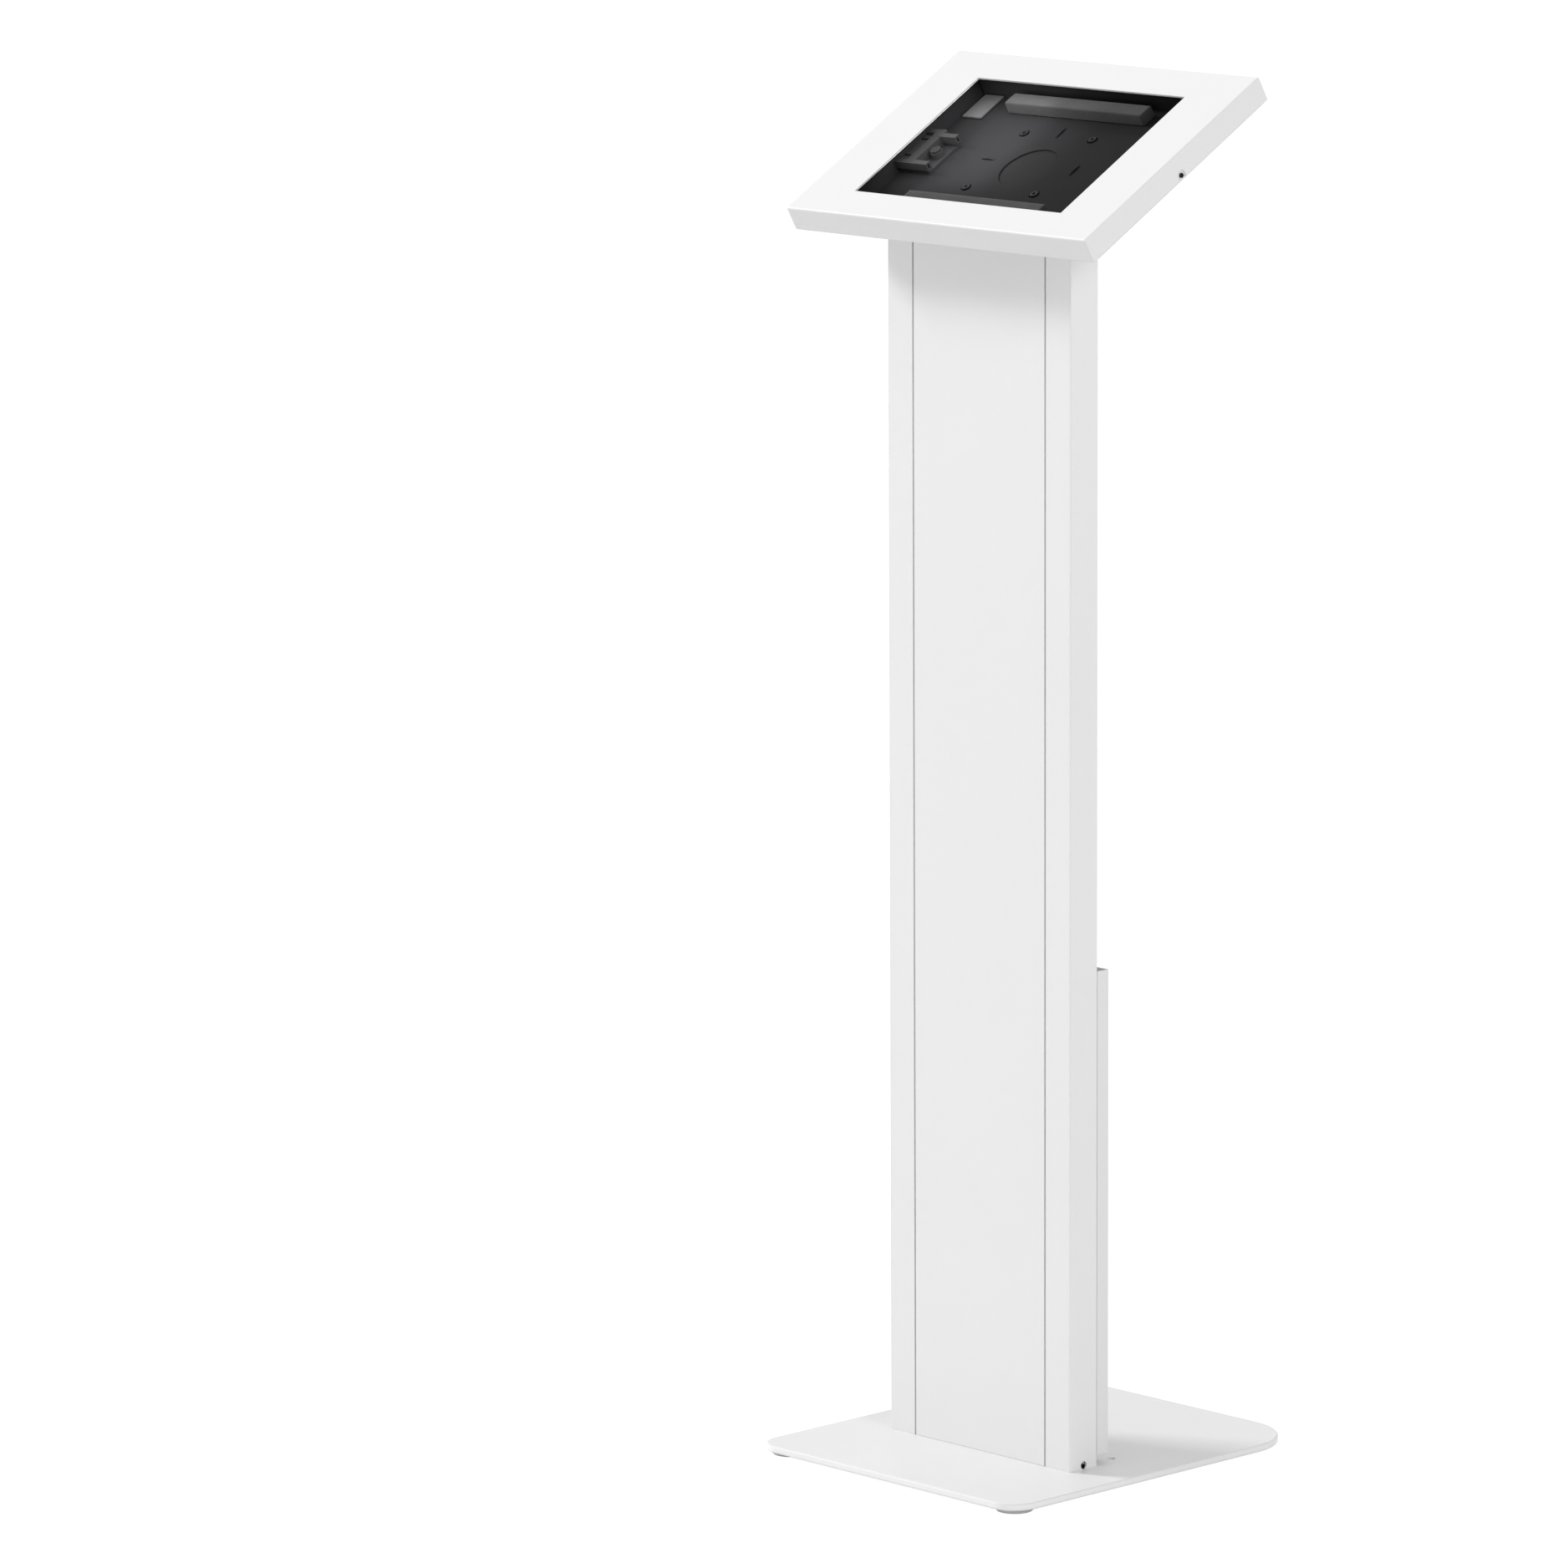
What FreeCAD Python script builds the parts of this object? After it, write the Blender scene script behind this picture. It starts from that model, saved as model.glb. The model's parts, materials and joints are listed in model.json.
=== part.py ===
import FreeCAD
import Part
import math
import os
from FreeCAD import Vector

# A free-standing floor stand that holds a tablet in a locked, tilted sheet-metal head.
# Millimetres. +Z is up, the stand faces -Y, and the origin is under the middle of the base
# plate, on the floor. Head pieces are drawn flat, with u along X, v up the slope and the depth
# measured down from the head's front face, and are then tilted and lifted to their place.

# Base plate
base_width = 293.0
base_depth = 333.0
base_thickness = 5.5
base_front_radius = 22.0
base_rear_radius = 55.0
base_edge_break = 0.6

# Feet
foot_radius = 15.0
foot_height = 3.5
foot_edge_margin = 4.2
foot_bevel = 0.8
foot_screw_radius = 2.5
foot_screw_head_radius = 4.8
foot_screw_head_height = 1.8
foot_screw_bite = 4.0
foot_web = 1.2

# Column, folded from one sheet and drawn as its back, sides and front flanges, with a separate
# front panel between two seams
column_width = 203.0
column_depth = 30.0
column_setback = 108.0
column_sheet = 1.5
column_bend_radius = 1.2
column_top_gap = 8.0
seam_spacing = 146.0
seam_gap = 1.6
lip_depth = 6.0
panel_foot_gap = 0.1

# Solid bar that the column stands over, and its screws
bar_height = 8.0
bar_side_gap = 0.3
bar_rear_gap = 0.3
bar_front_gap = 0.5
bar_bolt_radius = 3.0
bar_bolt_head_radius = 5.6
bar_bolt_head_height = 3.2
bar_bolt_outer_spacing = 150.0
bar_bolt_inner_spacing = 60.0
side_lock_radius = 2.0
side_lock_length = 14.0
side_lock_height = 2.4
side_lock_recess = 0.6
side_lock_hole_gap = 1.2
side_lock_hole_rise = 1.0
hex_socket_radius = 1.5
hex_socket_depth = 2.5

# Rails across the column, with the push-in studs and sockets of the front panel
rail_height = 24.0
rail_sheet = 1.5
rail_setback = 9.5
rail_lowest = 120.0
rail_pitch = 360.0
rail_bracket_gap = 5.0
stud_spacing = 100.0
stud_pin_radius = 2.5
stud_pin_length = 12.5
stud_head_radius = 7.0
stud_head_height = 1.0
stud_tip_bevel = 1.0
socket_flange_radius = 6.0
socket_flange_height = 1.5
socket_barrel_radius = 4.5
socket_barrel_length = 5.0

# Rear cover for the lead, hung on four hooks
rear_cover_depth = 13.0
rear_cover_top = 400.0
rear_cover_foot_gap = 8.7
rear_cover_sheet = 1.2
rear_cover_flange = 12.0
hook_width = 2.0
hook_inset = 7.0
hook_tab_height = 4.0
hook_lip_sheet = 2.0
hook_lip_drop = 6.0
hook_wall_gap = 0.3
hook_lift = 12.0
hook_slot_gap = 0.5
hook_lowest = 60.0
hook_pitch = 250.0

# Lead entry in the column's rear wall
lead_hole_height = 340.0
grommet_bore_radius = 8.0
grommet_neck_radius = 10.0
grommet_flange_radius = 13.0
grommet_flange_sheet = 1.6

# Floor anchors
anchor_spacing = 185.0
anchor_radius = 3.5
anchor_clearance = 12.0

# Head cover
head_width = 330.0
head_length = 223.0
head_tilt = 30.0
head_centre_height = 1044.5
head_centre_setback = 46.5
cover_depth = 20.6
cover_sheet = 1.5
cover_bend_radius = 1.6
window_width = 227.0
window_length = 159.0
window_offset = -1.9

# Rear tray and the cradle inside it
tray_gap = 0.4
tray_sheet = 1.0
tray_top_depth = 2.2
tray_corner_relief = 4.7
cradle_width = 243.0
cradle_length = 166.0
cradle_floor_depth = 20.0
cradle_sheet = 1.0
cradle_top_depth = 4.0
cradle_corner_gap = 0.8
cradle_hole_radius = 25.0
cradle_hole_u = 3.0
cradle_hole_v = -5.0
tie_slot_width = 2.6
tie_slot_length = 15.0
tie_slot_top = (-2.0, 42.0)
tie_slot_right = (51.0, -3.0)
tie_slot_left = (-46.0, 1.0)
rivet_radius = 2.0
rivet_head_radius = 3.2
rivet_head_height = 0.8
rivet_u_spacing = 120.0

# Lead hole in the head
head_lead_u = 91.5
head_lead_v = -50.0
head_grommet_bore_radius = 5.0
head_grommet_neck_radius = 6.0
head_grommet_flange_radius = 7.0
head_grommet_flange_sheet = 1.2

# Head bracket and its fasteners
vesa_spacing = 75.0
vesa_screw_radius = 2.0
vesa_head_radius = 3.5
vesa_head_height = 2.0
vesa_socket_depth = 1.2
vesa_clear_radius = 4.6
vesa_tip_out = 2.0
bracket_plate_width = 106.0
bracket_plate_length = 104.0
bracket_sheet = 3.0
bracket_drop = 90.0
bracket_front_setback = 10.0
gusset_tip_height = 12.0
bracket_bolt_radius = 3.0
bracket_bolt_head_radius = 5.2
bracket_bolt_head_crown_radius = 3.2
bracket_bolt_head_height = 3.2
bracket_bolt_x_spacing = 60.0
bracket_bolt_z_spacing = 50.0
bracket_bolt_drop = 20.0
nut_across_corners = 11.0
nut_height = 5.0
bolt_tip_out = 1.5

# Foam under the tablet
foam_length = 150.0
foam_width = 14.5
foam_top_depth = 9.0
foam_wall_gap = 8.0
corner_pad_side_gap = 4.5
corner_pad_rear_gap = 2.5
corner_pad_width = 21.0
corner_pad_length = 31.0
corner_pad_height = 2.0

# Moulded bracket round the charging plug
plug_bracket_v = -4.9
plug_arm_spread = 41.7
plug_rear_jog = 4.2
plug_arm_width = 5.0
plug_arm_reach = 36.0
plug_arm_height = 6.7
plug_tip_slot_width = 1.6
plug_tip_slot_depth = 3.0
plug_tip_wall = 1.4
plug_top_depth = 9.0
plug_web_setback = 10.5
plug_web_width = 9.0
plug_web_step = 0.3
plug_plate_reach = 33.0
plug_plate_sheet = 2.0
plug_shelf_depth = 10.5
plug_shelf_sheet = 2.0
plug_slot_width = 2.6
plug_slot_offsets = (17.4, 10.9, -11.6)
plug_boss_radius = 5.2
plug_boss_depth = 13.0
plug_screw_reach = 25.5
plug_screw_radius = 1.5
plug_screw_head_radius = 4.4
plug_screw_head_height = 2.0
pin_socket_radius = 0.6
pin_socket_spacing = 3.4
pin_socket_depth = 1.0

# Screws that lock the cover to the tray
lock_v = 1.5
lock_depth = 17.3
lock_screw_radius = 1.5
lock_screw_length = 9.0
lock_head_radius = 1.9
lock_head_height = 1.3
lock_socket_radius = 1.2
lock_socket_depth = 0.8
lock_notch_gap = 0.3
lock_pocket_radius = 4.2
lock_pocket_depth = 0.9
lock_nut_radius = 3.4
lock_nut_length = 6.0

# Clearances
soft_gap = 0.3
thread_gap = 0.05
hole_gap = 0.1
stud_gap = 0.1

# Length of a cut past a face, and depth by which joined shapes cross
past = 1.0
cross = 0.5

# Two places closer than this are the same place
same_place = 0.01

# Heights and places that follow from the sizes above
base_top = foot_height + base_thickness
column_front = -base_depth / 2 + column_setback
column_rear = column_front + column_depth
column_inner_rear = column_rear - column_sheet
column_half = column_width / 2
column_inner_half = column_half - column_sheet
lock_line = column_front + column_depth / 2
shell_seam = (seam_spacing + seam_gap) / 2
panel_half = (seam_spacing - seam_gap) / 2
rear_cover_back = column_rear + rear_cover_depth
head_y = column_front + head_centre_setback
head_z = base_top + head_centre_height
slope = math.radians(head_tilt)
underside_depth = cradle_floor_depth + cradle_sheet + tray_sheet
foam_v = cradle_length / 2 - foam_wall_gap - foam_width / 2
rivet_v_spacing = 2 * foam_v
corner_pad_u = cradle_width / 2 - corner_pad_side_gap - corner_pad_width / 2
corner_pad_v = cradle_length / 2 - corner_pad_rear_gap - corner_pad_length / 2


def underside_height(y):
    """Height of the plane under the head at a distance y from the origin."""
    v = (y - head_y - underside_depth * math.sin(slope)) / math.cos(slope)
    return head_z + v * math.sin(slope) - underside_depth * math.cos(slope)


column_top = underside_height(column_front) - column_top_gap
rail_room = column_top - bracket_drop - rail_bracket_gap - rail_height / 2 - base_top - rail_lowest
rail_count = int(rail_room / rail_pitch) + 1


def box(x0, x1, y0, y1, z0, z1):
    """Block between two opposite corners."""
    return Part.makeBox(x1 - x0, y1 - y0, z1 - z0, Vector(x0, y0, z0))


def layer(u0, u1, v0, v1, top, bottom):
    """Block in the flat head between two depths below its front face."""
    return box(u0, u1, v0, v1, -bottom, -top)


def rod(radius, start, end):
    """Round bar between two points."""
    way = end - start
    return Part.makeCylinder(radius, way.Length, start, way)


def taper(radius_start, radius_end, start, end):
    """Cone frustum between two points."""
    way = end - start
    return Part.makeCone(radius_start, radius_end, way.Length, start, way)


def hexagon(across_corners, start, end):
    """Six-sided bar between two points."""
    way = end - start
    side = Vector(0, 0, 1) if abs(way.z) < 0.5 * way.Length else Vector(1, 0, 0)
    across = way.cross(side).normalize()
    other = way.cross(across).normalize()
    corners = []
    for i in range(6):
        angle = math.radians(60 * i)
        spoke = across * math.cos(angle) + other * math.sin(angle)
        corners.append(start + spoke * (across_corners / 2))
    corners.append(corners[0])
    return Part.Face(Part.makePolygon(corners)).extrude(way)


def join(shapes):
    """One solid from touching or crossing shapes."""
    whole = shapes[0]
    if len(shapes) > 1:
        whole = whole.fuse(shapes[1:])
    return whole.removeSplitter()


def group(shapes):
    """Separate solids kept in one node."""
    return Part.makeCompound(shapes)


def round_upright(shape, half_width, y_values, radius):
    """Rounds the upright edges at x = +-half_width and the given y values."""
    edges = []
    for edge in shape.Edges:
        ends = [vertex.Point for vertex in edge.Vertexes]
        if len(ends) != 2 or abs(ends[0].z - ends[1].z) < 1:
            continue
        middle = (ends[0] + ends[1]) * 0.5
        on_side = abs(abs(middle.x) - half_width) < same_place
        on_face = min(abs(middle.y - y) for y in y_values) < same_place
        upright = (ends[0] - ends[1]).cross(Vector(0, 0, 1)).Length < same_place
        if on_side and on_face and upright:
            edges.append(edge)
    return shape.makeFillet(radius, edges)


def tilted(shape):
    """Moves a piece drawn in the flat head to its tilted place on the stand."""
    seat = FreeCAD.Placement(Vector(0, head_y, head_z), FreeCAD.Rotation(Vector(1, 0, 0), head_tilt))
    shape.Placement = seat.multiply(shape.Placement)
    return shape


def corner_places():
    """Middles of the four feet, a fixed margin inside each rounded corner."""
    places = []
    for side in (-1, 1):
        for end, radius in ((-1, base_front_radius), (1, base_rear_radius)):
            inset = radius - (radius - foot_radius - foot_edge_margin) / math.sqrt(2)
            places.append((side * (base_width / 2 - inset), end * (base_depth / 2 - inset)))
    return places


def bolt_line():
    """X places of the screws that hold the bar to the base plate."""
    outer = bar_bolt_outer_spacing / 2
    inner = bar_bolt_inner_spacing / 2
    return (-outer, -inner, inner, outer)


def anchor_y():
    """Line of the floor anchors behind the rear cover."""
    return rear_cover_back + anchor_clearance


def make_base_plate():
    """Flat steel plate with wide rear corners, foot, bar and anchor holes."""
    half = base_width / 2
    front = -base_depth / 2
    rear = base_depth / 2
    front_r = base_front_radius
    rear_r = base_rear_radius
    diagonal = math.sqrt(0.5)
    edges = [
        Part.LineSegment(Vector(-half + front_r, front, 0), Vector(half - front_r, front, 0)),
        Part.Arc(Vector(half - front_r, front, 0),
                 Vector(half - front_r + front_r * diagonal, front + front_r - front_r * diagonal, 0),
                 Vector(half, front + front_r, 0)),
        Part.LineSegment(Vector(half, front + front_r, 0), Vector(half, rear - rear_r, 0)),
        Part.Arc(Vector(half, rear - rear_r, 0),
                 Vector(half - rear_r + rear_r * diagonal, rear - rear_r + rear_r * diagonal, 0),
                 Vector(half - rear_r, rear, 0)),
        Part.LineSegment(Vector(half - rear_r, rear, 0), Vector(-half + rear_r, rear, 0)),
        Part.Arc(Vector(-half + rear_r, rear, 0),
                 Vector(-half + rear_r - rear_r * diagonal, rear - rear_r + rear_r * diagonal, 0),
                 Vector(-half, rear - rear_r, 0)),
        Part.LineSegment(Vector(-half, rear - rear_r, 0), Vector(-half, front + front_r, 0)),
        Part.Arc(Vector(-half, front + front_r, 0),
                 Vector(-half + front_r - front_r * diagonal, front + front_r - front_r * diagonal, 0),
                 Vector(-half + front_r, front, 0)),
    ]
    outline = Part.Wire([edge.toShape() for edge in edges])
    plate = Part.Face(outline).extrude(Vector(0, 0, base_thickness))
    rim = [edge for face in plate.Faces if abs(face.normalAt(0, 0).z) > 0.9 for edge in face.Edges]
    plate = plate.makeChamfer(base_edge_break, rim)
    plate.translate(Vector(0, 0, foot_height))
    cuts = []
    for x, y in corner_places():
        cuts.append(rod(foot_screw_radius + thread_gap, Vector(x, y, foot_height - past),
                        Vector(x, y, foot_height + foot_screw_bite + thread_gap)))
    for x in bolt_line():
        low = Vector(x, lock_line, foot_height)
        cuts.append(rod(bar_bolt_radius + hole_gap, low, Vector(x, lock_line, base_top + past)))
        cuts.append(taper(bar_bolt_head_radius + hole_gap, bar_bolt_radius + hole_gap, low,
                          Vector(x, lock_line, foot_height + bar_bolt_head_height + hole_gap)))
    for side in (-1, 1):
        x = side * anchor_spacing / 2
        cuts.append(rod(anchor_radius, Vector(x, anchor_y(), 0), Vector(x, anchor_y(), base_top + past)))
    return plate.cut(cuts)


def make_feet():
    """Four round plastic glides, each with a hollow for its screw head."""
    feet = []
    for x, y in corner_places():
        foot = rod(foot_radius, Vector(x, y, foot_bevel), Vector(x, y, foot_height))
        bevel = taper(foot_radius - foot_bevel, foot_radius, Vector(x, y, 0), Vector(x, y, foot_bevel))
        bore = rod(foot_screw_radius + soft_gap, Vector(x, y, -past), Vector(x, y, foot_height + past))
        hollow = rod(foot_screw_head_radius + soft_gap, Vector(x, y, -past),
                     Vector(x, y, foot_height - foot_web))
        feet.append(join([foot, bevel]).cut([bore, hollow]))
    return group(feet)


def make_foot_screws():
    """Four pan-head screws that hold the glides under the base plate."""
    screws = []
    for x, y in corner_places():
        seat = foot_height - foot_web
        head = rod(foot_screw_head_radius, Vector(x, y, seat - foot_screw_head_height), Vector(x, y, seat))
        shank = rod(foot_screw_radius, Vector(x, y, seat - cross),
                    Vector(x, y, foot_height + foot_screw_bite))
        screws.append(join([head, shank]))
    return group(screws)


def make_foot_bar():
    """Solid bar inside the column's foot, tapped from below and at both ends."""
    half = column_inner_half - bar_side_gap
    front = column_front + lip_depth + bar_front_gap
    bar = box(-half, half, front, column_inner_rear - bar_rear_gap, base_top, base_top + bar_height)
    cuts = []
    for x in bolt_line():
        cuts.append(rod(bar_bolt_radius + thread_gap, Vector(x, lock_line, base_top - past),
                        Vector(x, lock_line, base_top + bar_height + past)))
    height = base_top + side_lock_height
    for side in (-1, 1):
        cuts.append(rod(side_lock_radius + thread_gap, Vector(side * (half + past), lock_line, height),
                        Vector(side * (column_half - side_lock_length - past), lock_line, height)))
    return bar.cut(cuts)


def make_bar_bolts():
    """Four countersunk screws up through the base plate into the bar."""
    bolts = []
    for x in bolt_line():
        head = taper(bar_bolt_head_radius, bar_bolt_radius, Vector(x, lock_line, foot_height),
                     Vector(x, lock_line, foot_height + bar_bolt_head_height))
        shank = rod(bar_bolt_radius, Vector(x, lock_line, foot_height + cross),
                    Vector(x, lock_line, base_top + bar_height - cross))
        socket = hexagon(2 * hex_socket_radius, Vector(x, lock_line, foot_height - past),
                         Vector(x, lock_line, foot_height + hex_socket_depth))
        bolts.append(join([head, shank]).cut(socket))
    return group(bolts)


def make_side_lock_screws():
    """Two socket set screws in the bar's ends that reach into the column's side holes."""
    height = base_top + side_lock_height
    screws = []
    for side in (-1, 1):
        outer = side * (column_half - side_lock_recess)
        inner = side * (column_half - side_lock_length)
        pin = rod(side_lock_radius, Vector(inner, lock_line, height), Vector(outer, lock_line, height))
        socket = hexagon(2 * hex_socket_radius, Vector(outer + side, lock_line, height),
                         Vector(outer - side * hex_socket_depth, lock_line, height))
        screws.append(pin.cut(socket))
    return group(screws)


def hook_heights():
    """Lower faces of the rear cover's hook tabs."""
    return (base_top + hook_lowest, base_top + hook_lowest + hook_pitch)


def bracket_bolt_places():
    """X and Z places of the bolts through the column's rear wall."""
    places = []
    for side in (-1, 1):
        for drop in (bracket_bolt_drop, bracket_bolt_drop + bracket_bolt_z_spacing):
            places.append((side * bracket_bolt_x_spacing / 2, column_top - drop))
    return places


def make_column_back():
    """Rear wall of the folded column, with bolt holes, the lead hole and slots for the hooks."""
    wall = box(-column_inner_half, column_inner_half, column_inner_rear, column_rear, base_top, column_top)
    wall_in = column_inner_rear - past
    wall_out = column_rear + past
    cuts = []
    for x, z in bracket_bolt_places():
        cuts.append(rod(bracket_bolt_radius + hole_gap, Vector(x, wall_in, z), Vector(x, wall_out, z)))
    z = base_top + lead_hole_height
    cuts.append(rod(grommet_neck_radius + soft_gap, Vector(0, wall_in, z), Vector(0, wall_out, z)))
    for side in (-1, 1):
        x = side * (column_half - hook_inset)
        for z in hook_heights():
            cuts.append(box(x - hook_width / 2 - hook_slot_gap, x + hook_width / 2 + hook_slot_gap,
                            wall_in, wall_out, z - hook_slot_gap,
                            z + hook_tab_height + hook_lift + hook_slot_gap))
    return wall.cut(cuts)


def make_column_sides():
    """Side walls of the folded column, with its four rounded bends and the side lock holes."""
    height = base_top + side_lock_height + side_lock_hole_rise
    sides = []
    for side in (-1, 1):
        low, high = sorted((side * column_half, side * column_inner_half))
        wall = box(low, high, column_front, column_rear, base_top, column_top)
        wall = round_upright(wall, column_half, (column_front, column_rear), column_bend_radius)
        hole = rod(side_lock_radius + side_lock_hole_gap, Vector(low - past, lock_line, height),
                   Vector(high + past, lock_line, height))
        sides.append(wall.cut(hole))
    return group(sides)


def make_column_flanges():
    """Front flanges of the folded column, each with its turned-in lip at the seam."""
    flanges = []
    for side in (-1, 1):
        low, high = sorted((side * column_inner_half, side * shell_seam))
        face = box(low, high, column_front, column_front + column_sheet, base_top, column_top)
        low, high = sorted((side * shell_seam, side * (shell_seam + column_sheet)))
        lip = box(low, high, column_front, column_front + lip_depth, base_top, column_top)
        flanges.append(join([face, lip]))
    return group(flanges)


def rail_heights():
    """Middle heights of the cross rails, as many as fit under the head bracket."""
    return [base_top + rail_lowest + i * rail_pitch for i in range(rail_count)]


def stud_places():
    """X and Z places of the push-in studs."""
    return [(side * stud_spacing / 2, z) for z in rail_heights() for side in (-1, 1)]


def make_rails():
    """Flat rails across the column, each with two socket holes."""
    front = column_front + rail_setback
    rails = []
    for z in rail_heights():
        rail = box(-column_inner_half, column_inner_half, front, front + rail_sheet,
                   z - rail_height / 2, z + rail_height / 2)
        holes = []
        for side in (-1, 1):
            x = side * stud_spacing / 2
            holes.append(rod(socket_barrel_radius + hole_gap, Vector(x, front - past, z),
                             Vector(x, front + rail_sheet + past, z)))
        rails.append(rail.cut(holes))
    return group(rails)


def make_sockets():
    """Nylon sockets seated in the rails."""
    front = column_front + rail_setback
    sockets = []
    for x, z in stud_places():
        flange = rod(socket_flange_radius, Vector(x, front - socket_flange_height, z), Vector(x, front, z))
        barrel = rod(socket_barrel_radius, Vector(x, front - cross, z),
                     Vector(x, front + rail_sheet + socket_barrel_length, z))
        bore = rod(stud_pin_radius + stud_gap, Vector(x, front - socket_flange_height - past, z),
                   Vector(x, front + rail_sheet + socket_barrel_length + past, z))
        sockets.append(join([flange, barrel]).cut(bore))
    return group(sockets)


def make_studs():
    """Round pins fixed to the back of the front panel."""
    face = column_front + column_sheet
    studs = []
    for x, z in stud_places():
        head = rod(stud_head_radius, Vector(x, face, z), Vector(x, face + stud_head_height, z))
        tip_start = face + stud_pin_length - stud_tip_bevel
        pin = rod(stud_pin_radius, Vector(x, face + cross, z), Vector(x, tip_start, z))
        tip = taper(stud_pin_radius, stud_pin_radius - stud_tip_bevel, Vector(x, tip_start, z),
                    Vector(x, face + stud_pin_length, z))
        studs.append(join([head, pin, tip]))
    return group(studs)


def make_front_panel():
    """Shallow folded pan that closes the column's front between the seams."""
    low = base_top + panel_foot_gap
    pieces = [box(-panel_half, panel_half, column_front, column_front + column_sheet, low, column_top)]
    for side in (-1, 1):
        a, b = sorted((side * panel_half, side * (panel_half - column_sheet)))
        pieces.append(box(a, b, column_front, column_front + lip_depth, low, column_top))
    return join(pieces)


def make_rear_cover():
    """Shallow folded channel behind the column, open at its top and bottom."""
    low = base_top + rear_cover_foot_gap
    high = base_top + rear_cover_top
    back = rear_cover_back
    pieces = [box(-column_half, column_half, back - rear_cover_sheet, back, low, high)]
    for side in (-1, 1):
        outer = side * column_half
        a, b = sorted((outer, side * (column_half - rear_cover_sheet)))
        pieces.append(box(a, b, column_rear, back, low, high))
        a, b = sorted((outer, side * (column_half - rear_cover_flange)))
        pieces.append(box(a, b, column_rear, column_rear + rear_cover_sheet, low, high))
    return round_upright(join(pieces), column_half, (back,), column_bend_radius)


def make_rear_cover_hooks():
    """Four plate hooks on the rear cover's flanges that drop behind the column's rear wall."""
    lip_front = column_inner_rear - hook_wall_gap
    hooks = []
    for side in (-1, 1):
        x = side * (column_half - hook_inset)
        x0 = x - hook_width / 2
        x1 = x + hook_width / 2
        for z in hook_heights():
            tab = box(x0, x1, lip_front - hook_lip_sheet, column_rear, z, z + hook_tab_height)
            lip = box(x0, x1, lip_front - hook_lip_sheet, lip_front, z - hook_lip_drop, z + hook_tab_height)
            hooks.append(join([tab, lip]))
    return group(hooks)


def make_grommet():
    """Rubber ring in the column's rear wall that the lead passes through."""
    z = base_top + lead_hole_height
    inner = column_inner_rear - soft_gap
    outer = column_rear + soft_gap
    ring = join([
        rod(grommet_neck_radius, Vector(0, inner - cross, z), Vector(0, outer + cross, z)),
        rod(grommet_flange_radius, Vector(0, inner - grommet_flange_sheet, z), Vector(0, inner, z)),
        rod(grommet_flange_radius, Vector(0, outer, z), Vector(0, outer + grommet_flange_sheet, z)),
    ])
    bore = rod(grommet_bore_radius, Vector(0, inner - grommet_flange_sheet - past, z),
               Vector(0, outer + grommet_flange_sheet + past, z))
    return ring.cut(bore)


def make_head_bracket():
    """Welded bracket: back plate and two gussets in the column, tilted plate under the head."""
    half = bracket_plate_width / 2
    rear_y = head_y + underside_depth * math.sin(slope) + bracket_plate_length / 2 * math.cos(slope)
    front_y = column_front + bracket_front_setback
    low = column_top - bracket_drop
    into_plate = bracket_sheet / 2 / math.cos(slope)
    profile = [
        (front_y, low),
        (column_inner_rear, low),
        (column_inner_rear, column_top + bracket_sheet),
        (rear_y, underside_height(rear_y) - gusset_tip_height),
        (rear_y, underside_height(rear_y) - into_plate),
        (front_y, underside_height(front_y) - into_plate),
    ]
    pieces = [box(-half, half, column_inner_rear - bracket_sheet, column_inner_rear, low, column_top)]
    for x in (-half, half - bracket_sheet):
        corners = [Vector(x, y, z) for y, z in profile + profile[:1]]
        pieces.append(Part.Face(Part.makePolygon(corners)).extrude(Vector(bracket_sheet, 0, 0)))
    plate = layer(-half, half, -bracket_plate_length / 2, bracket_plate_length / 2,
                  underside_depth, underside_depth + bracket_sheet)
    pieces.append(tilted(plate))
    cuts = []
    for u, v in vesa_places():
        hole = rod(vesa_screw_radius + thread_gap, Vector(u, v, -underside_depth - bracket_sheet - past),
                   Vector(u, v, -underside_depth + past))
        cuts.append(tilted(hole))
    for x, z in bracket_bolt_places():
        cuts.append(rod(bracket_bolt_radius + hole_gap,
                        Vector(x, column_inner_rear - bracket_sheet - past, z),
                        Vector(x, column_inner_rear + past, z)))
    return join(pieces).cut(cuts)


def make_bracket_bolts():
    """Four button-head bolts through the column's rear wall and the bracket."""
    inner = column_inner_rear - bracket_sheet - nut_height - bolt_tip_out
    bolts = []
    for x, z in bracket_bolt_places():
        head = taper(bracket_bolt_head_radius, bracket_bolt_head_crown_radius, Vector(x, column_rear, z),
                     Vector(x, column_rear + bracket_bolt_head_height, z))
        shank = rod(bracket_bolt_radius, Vector(x, inner, z), Vector(x, column_rear + cross, z))
        socket = hexagon(2 * hex_socket_radius, Vector(x, column_rear + bracket_bolt_head_height + past, z),
                         Vector(x, column_rear + bracket_bolt_head_height - hex_socket_depth, z))
        bolts.append(join([head, shank]).cut(socket))
    return group(bolts)


def make_bracket_nuts():
    """Four hexagon nuts on the bracket's back plate."""
    face = column_inner_rear - bracket_sheet
    nuts = []
    for x, z in bracket_bolt_places():
        nut = hexagon(nut_across_corners, Vector(x, face, z), Vector(x, face - nut_height, z))
        nuts.append(nut.cut(rod(bracket_bolt_radius + thread_gap, Vector(x, face + past, z),
                                Vector(x, face - nut_height - past, z))))
    return group(nuts)


def vesa_places():
    """Places of the four screws of the square mounting pattern, on the head's middle."""
    half = vesa_spacing / 2
    return [(u, v) for u in (-half, half) for v in (-half, half)]


def rivet_places():
    """Places of the rivets that join the cradle and the tray, under the foam strips."""
    return [(side * rivet_u_spacing / 2, end * rivet_v_spacing / 2) for side in (-1, 1) for end in (-1, 1)]


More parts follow.
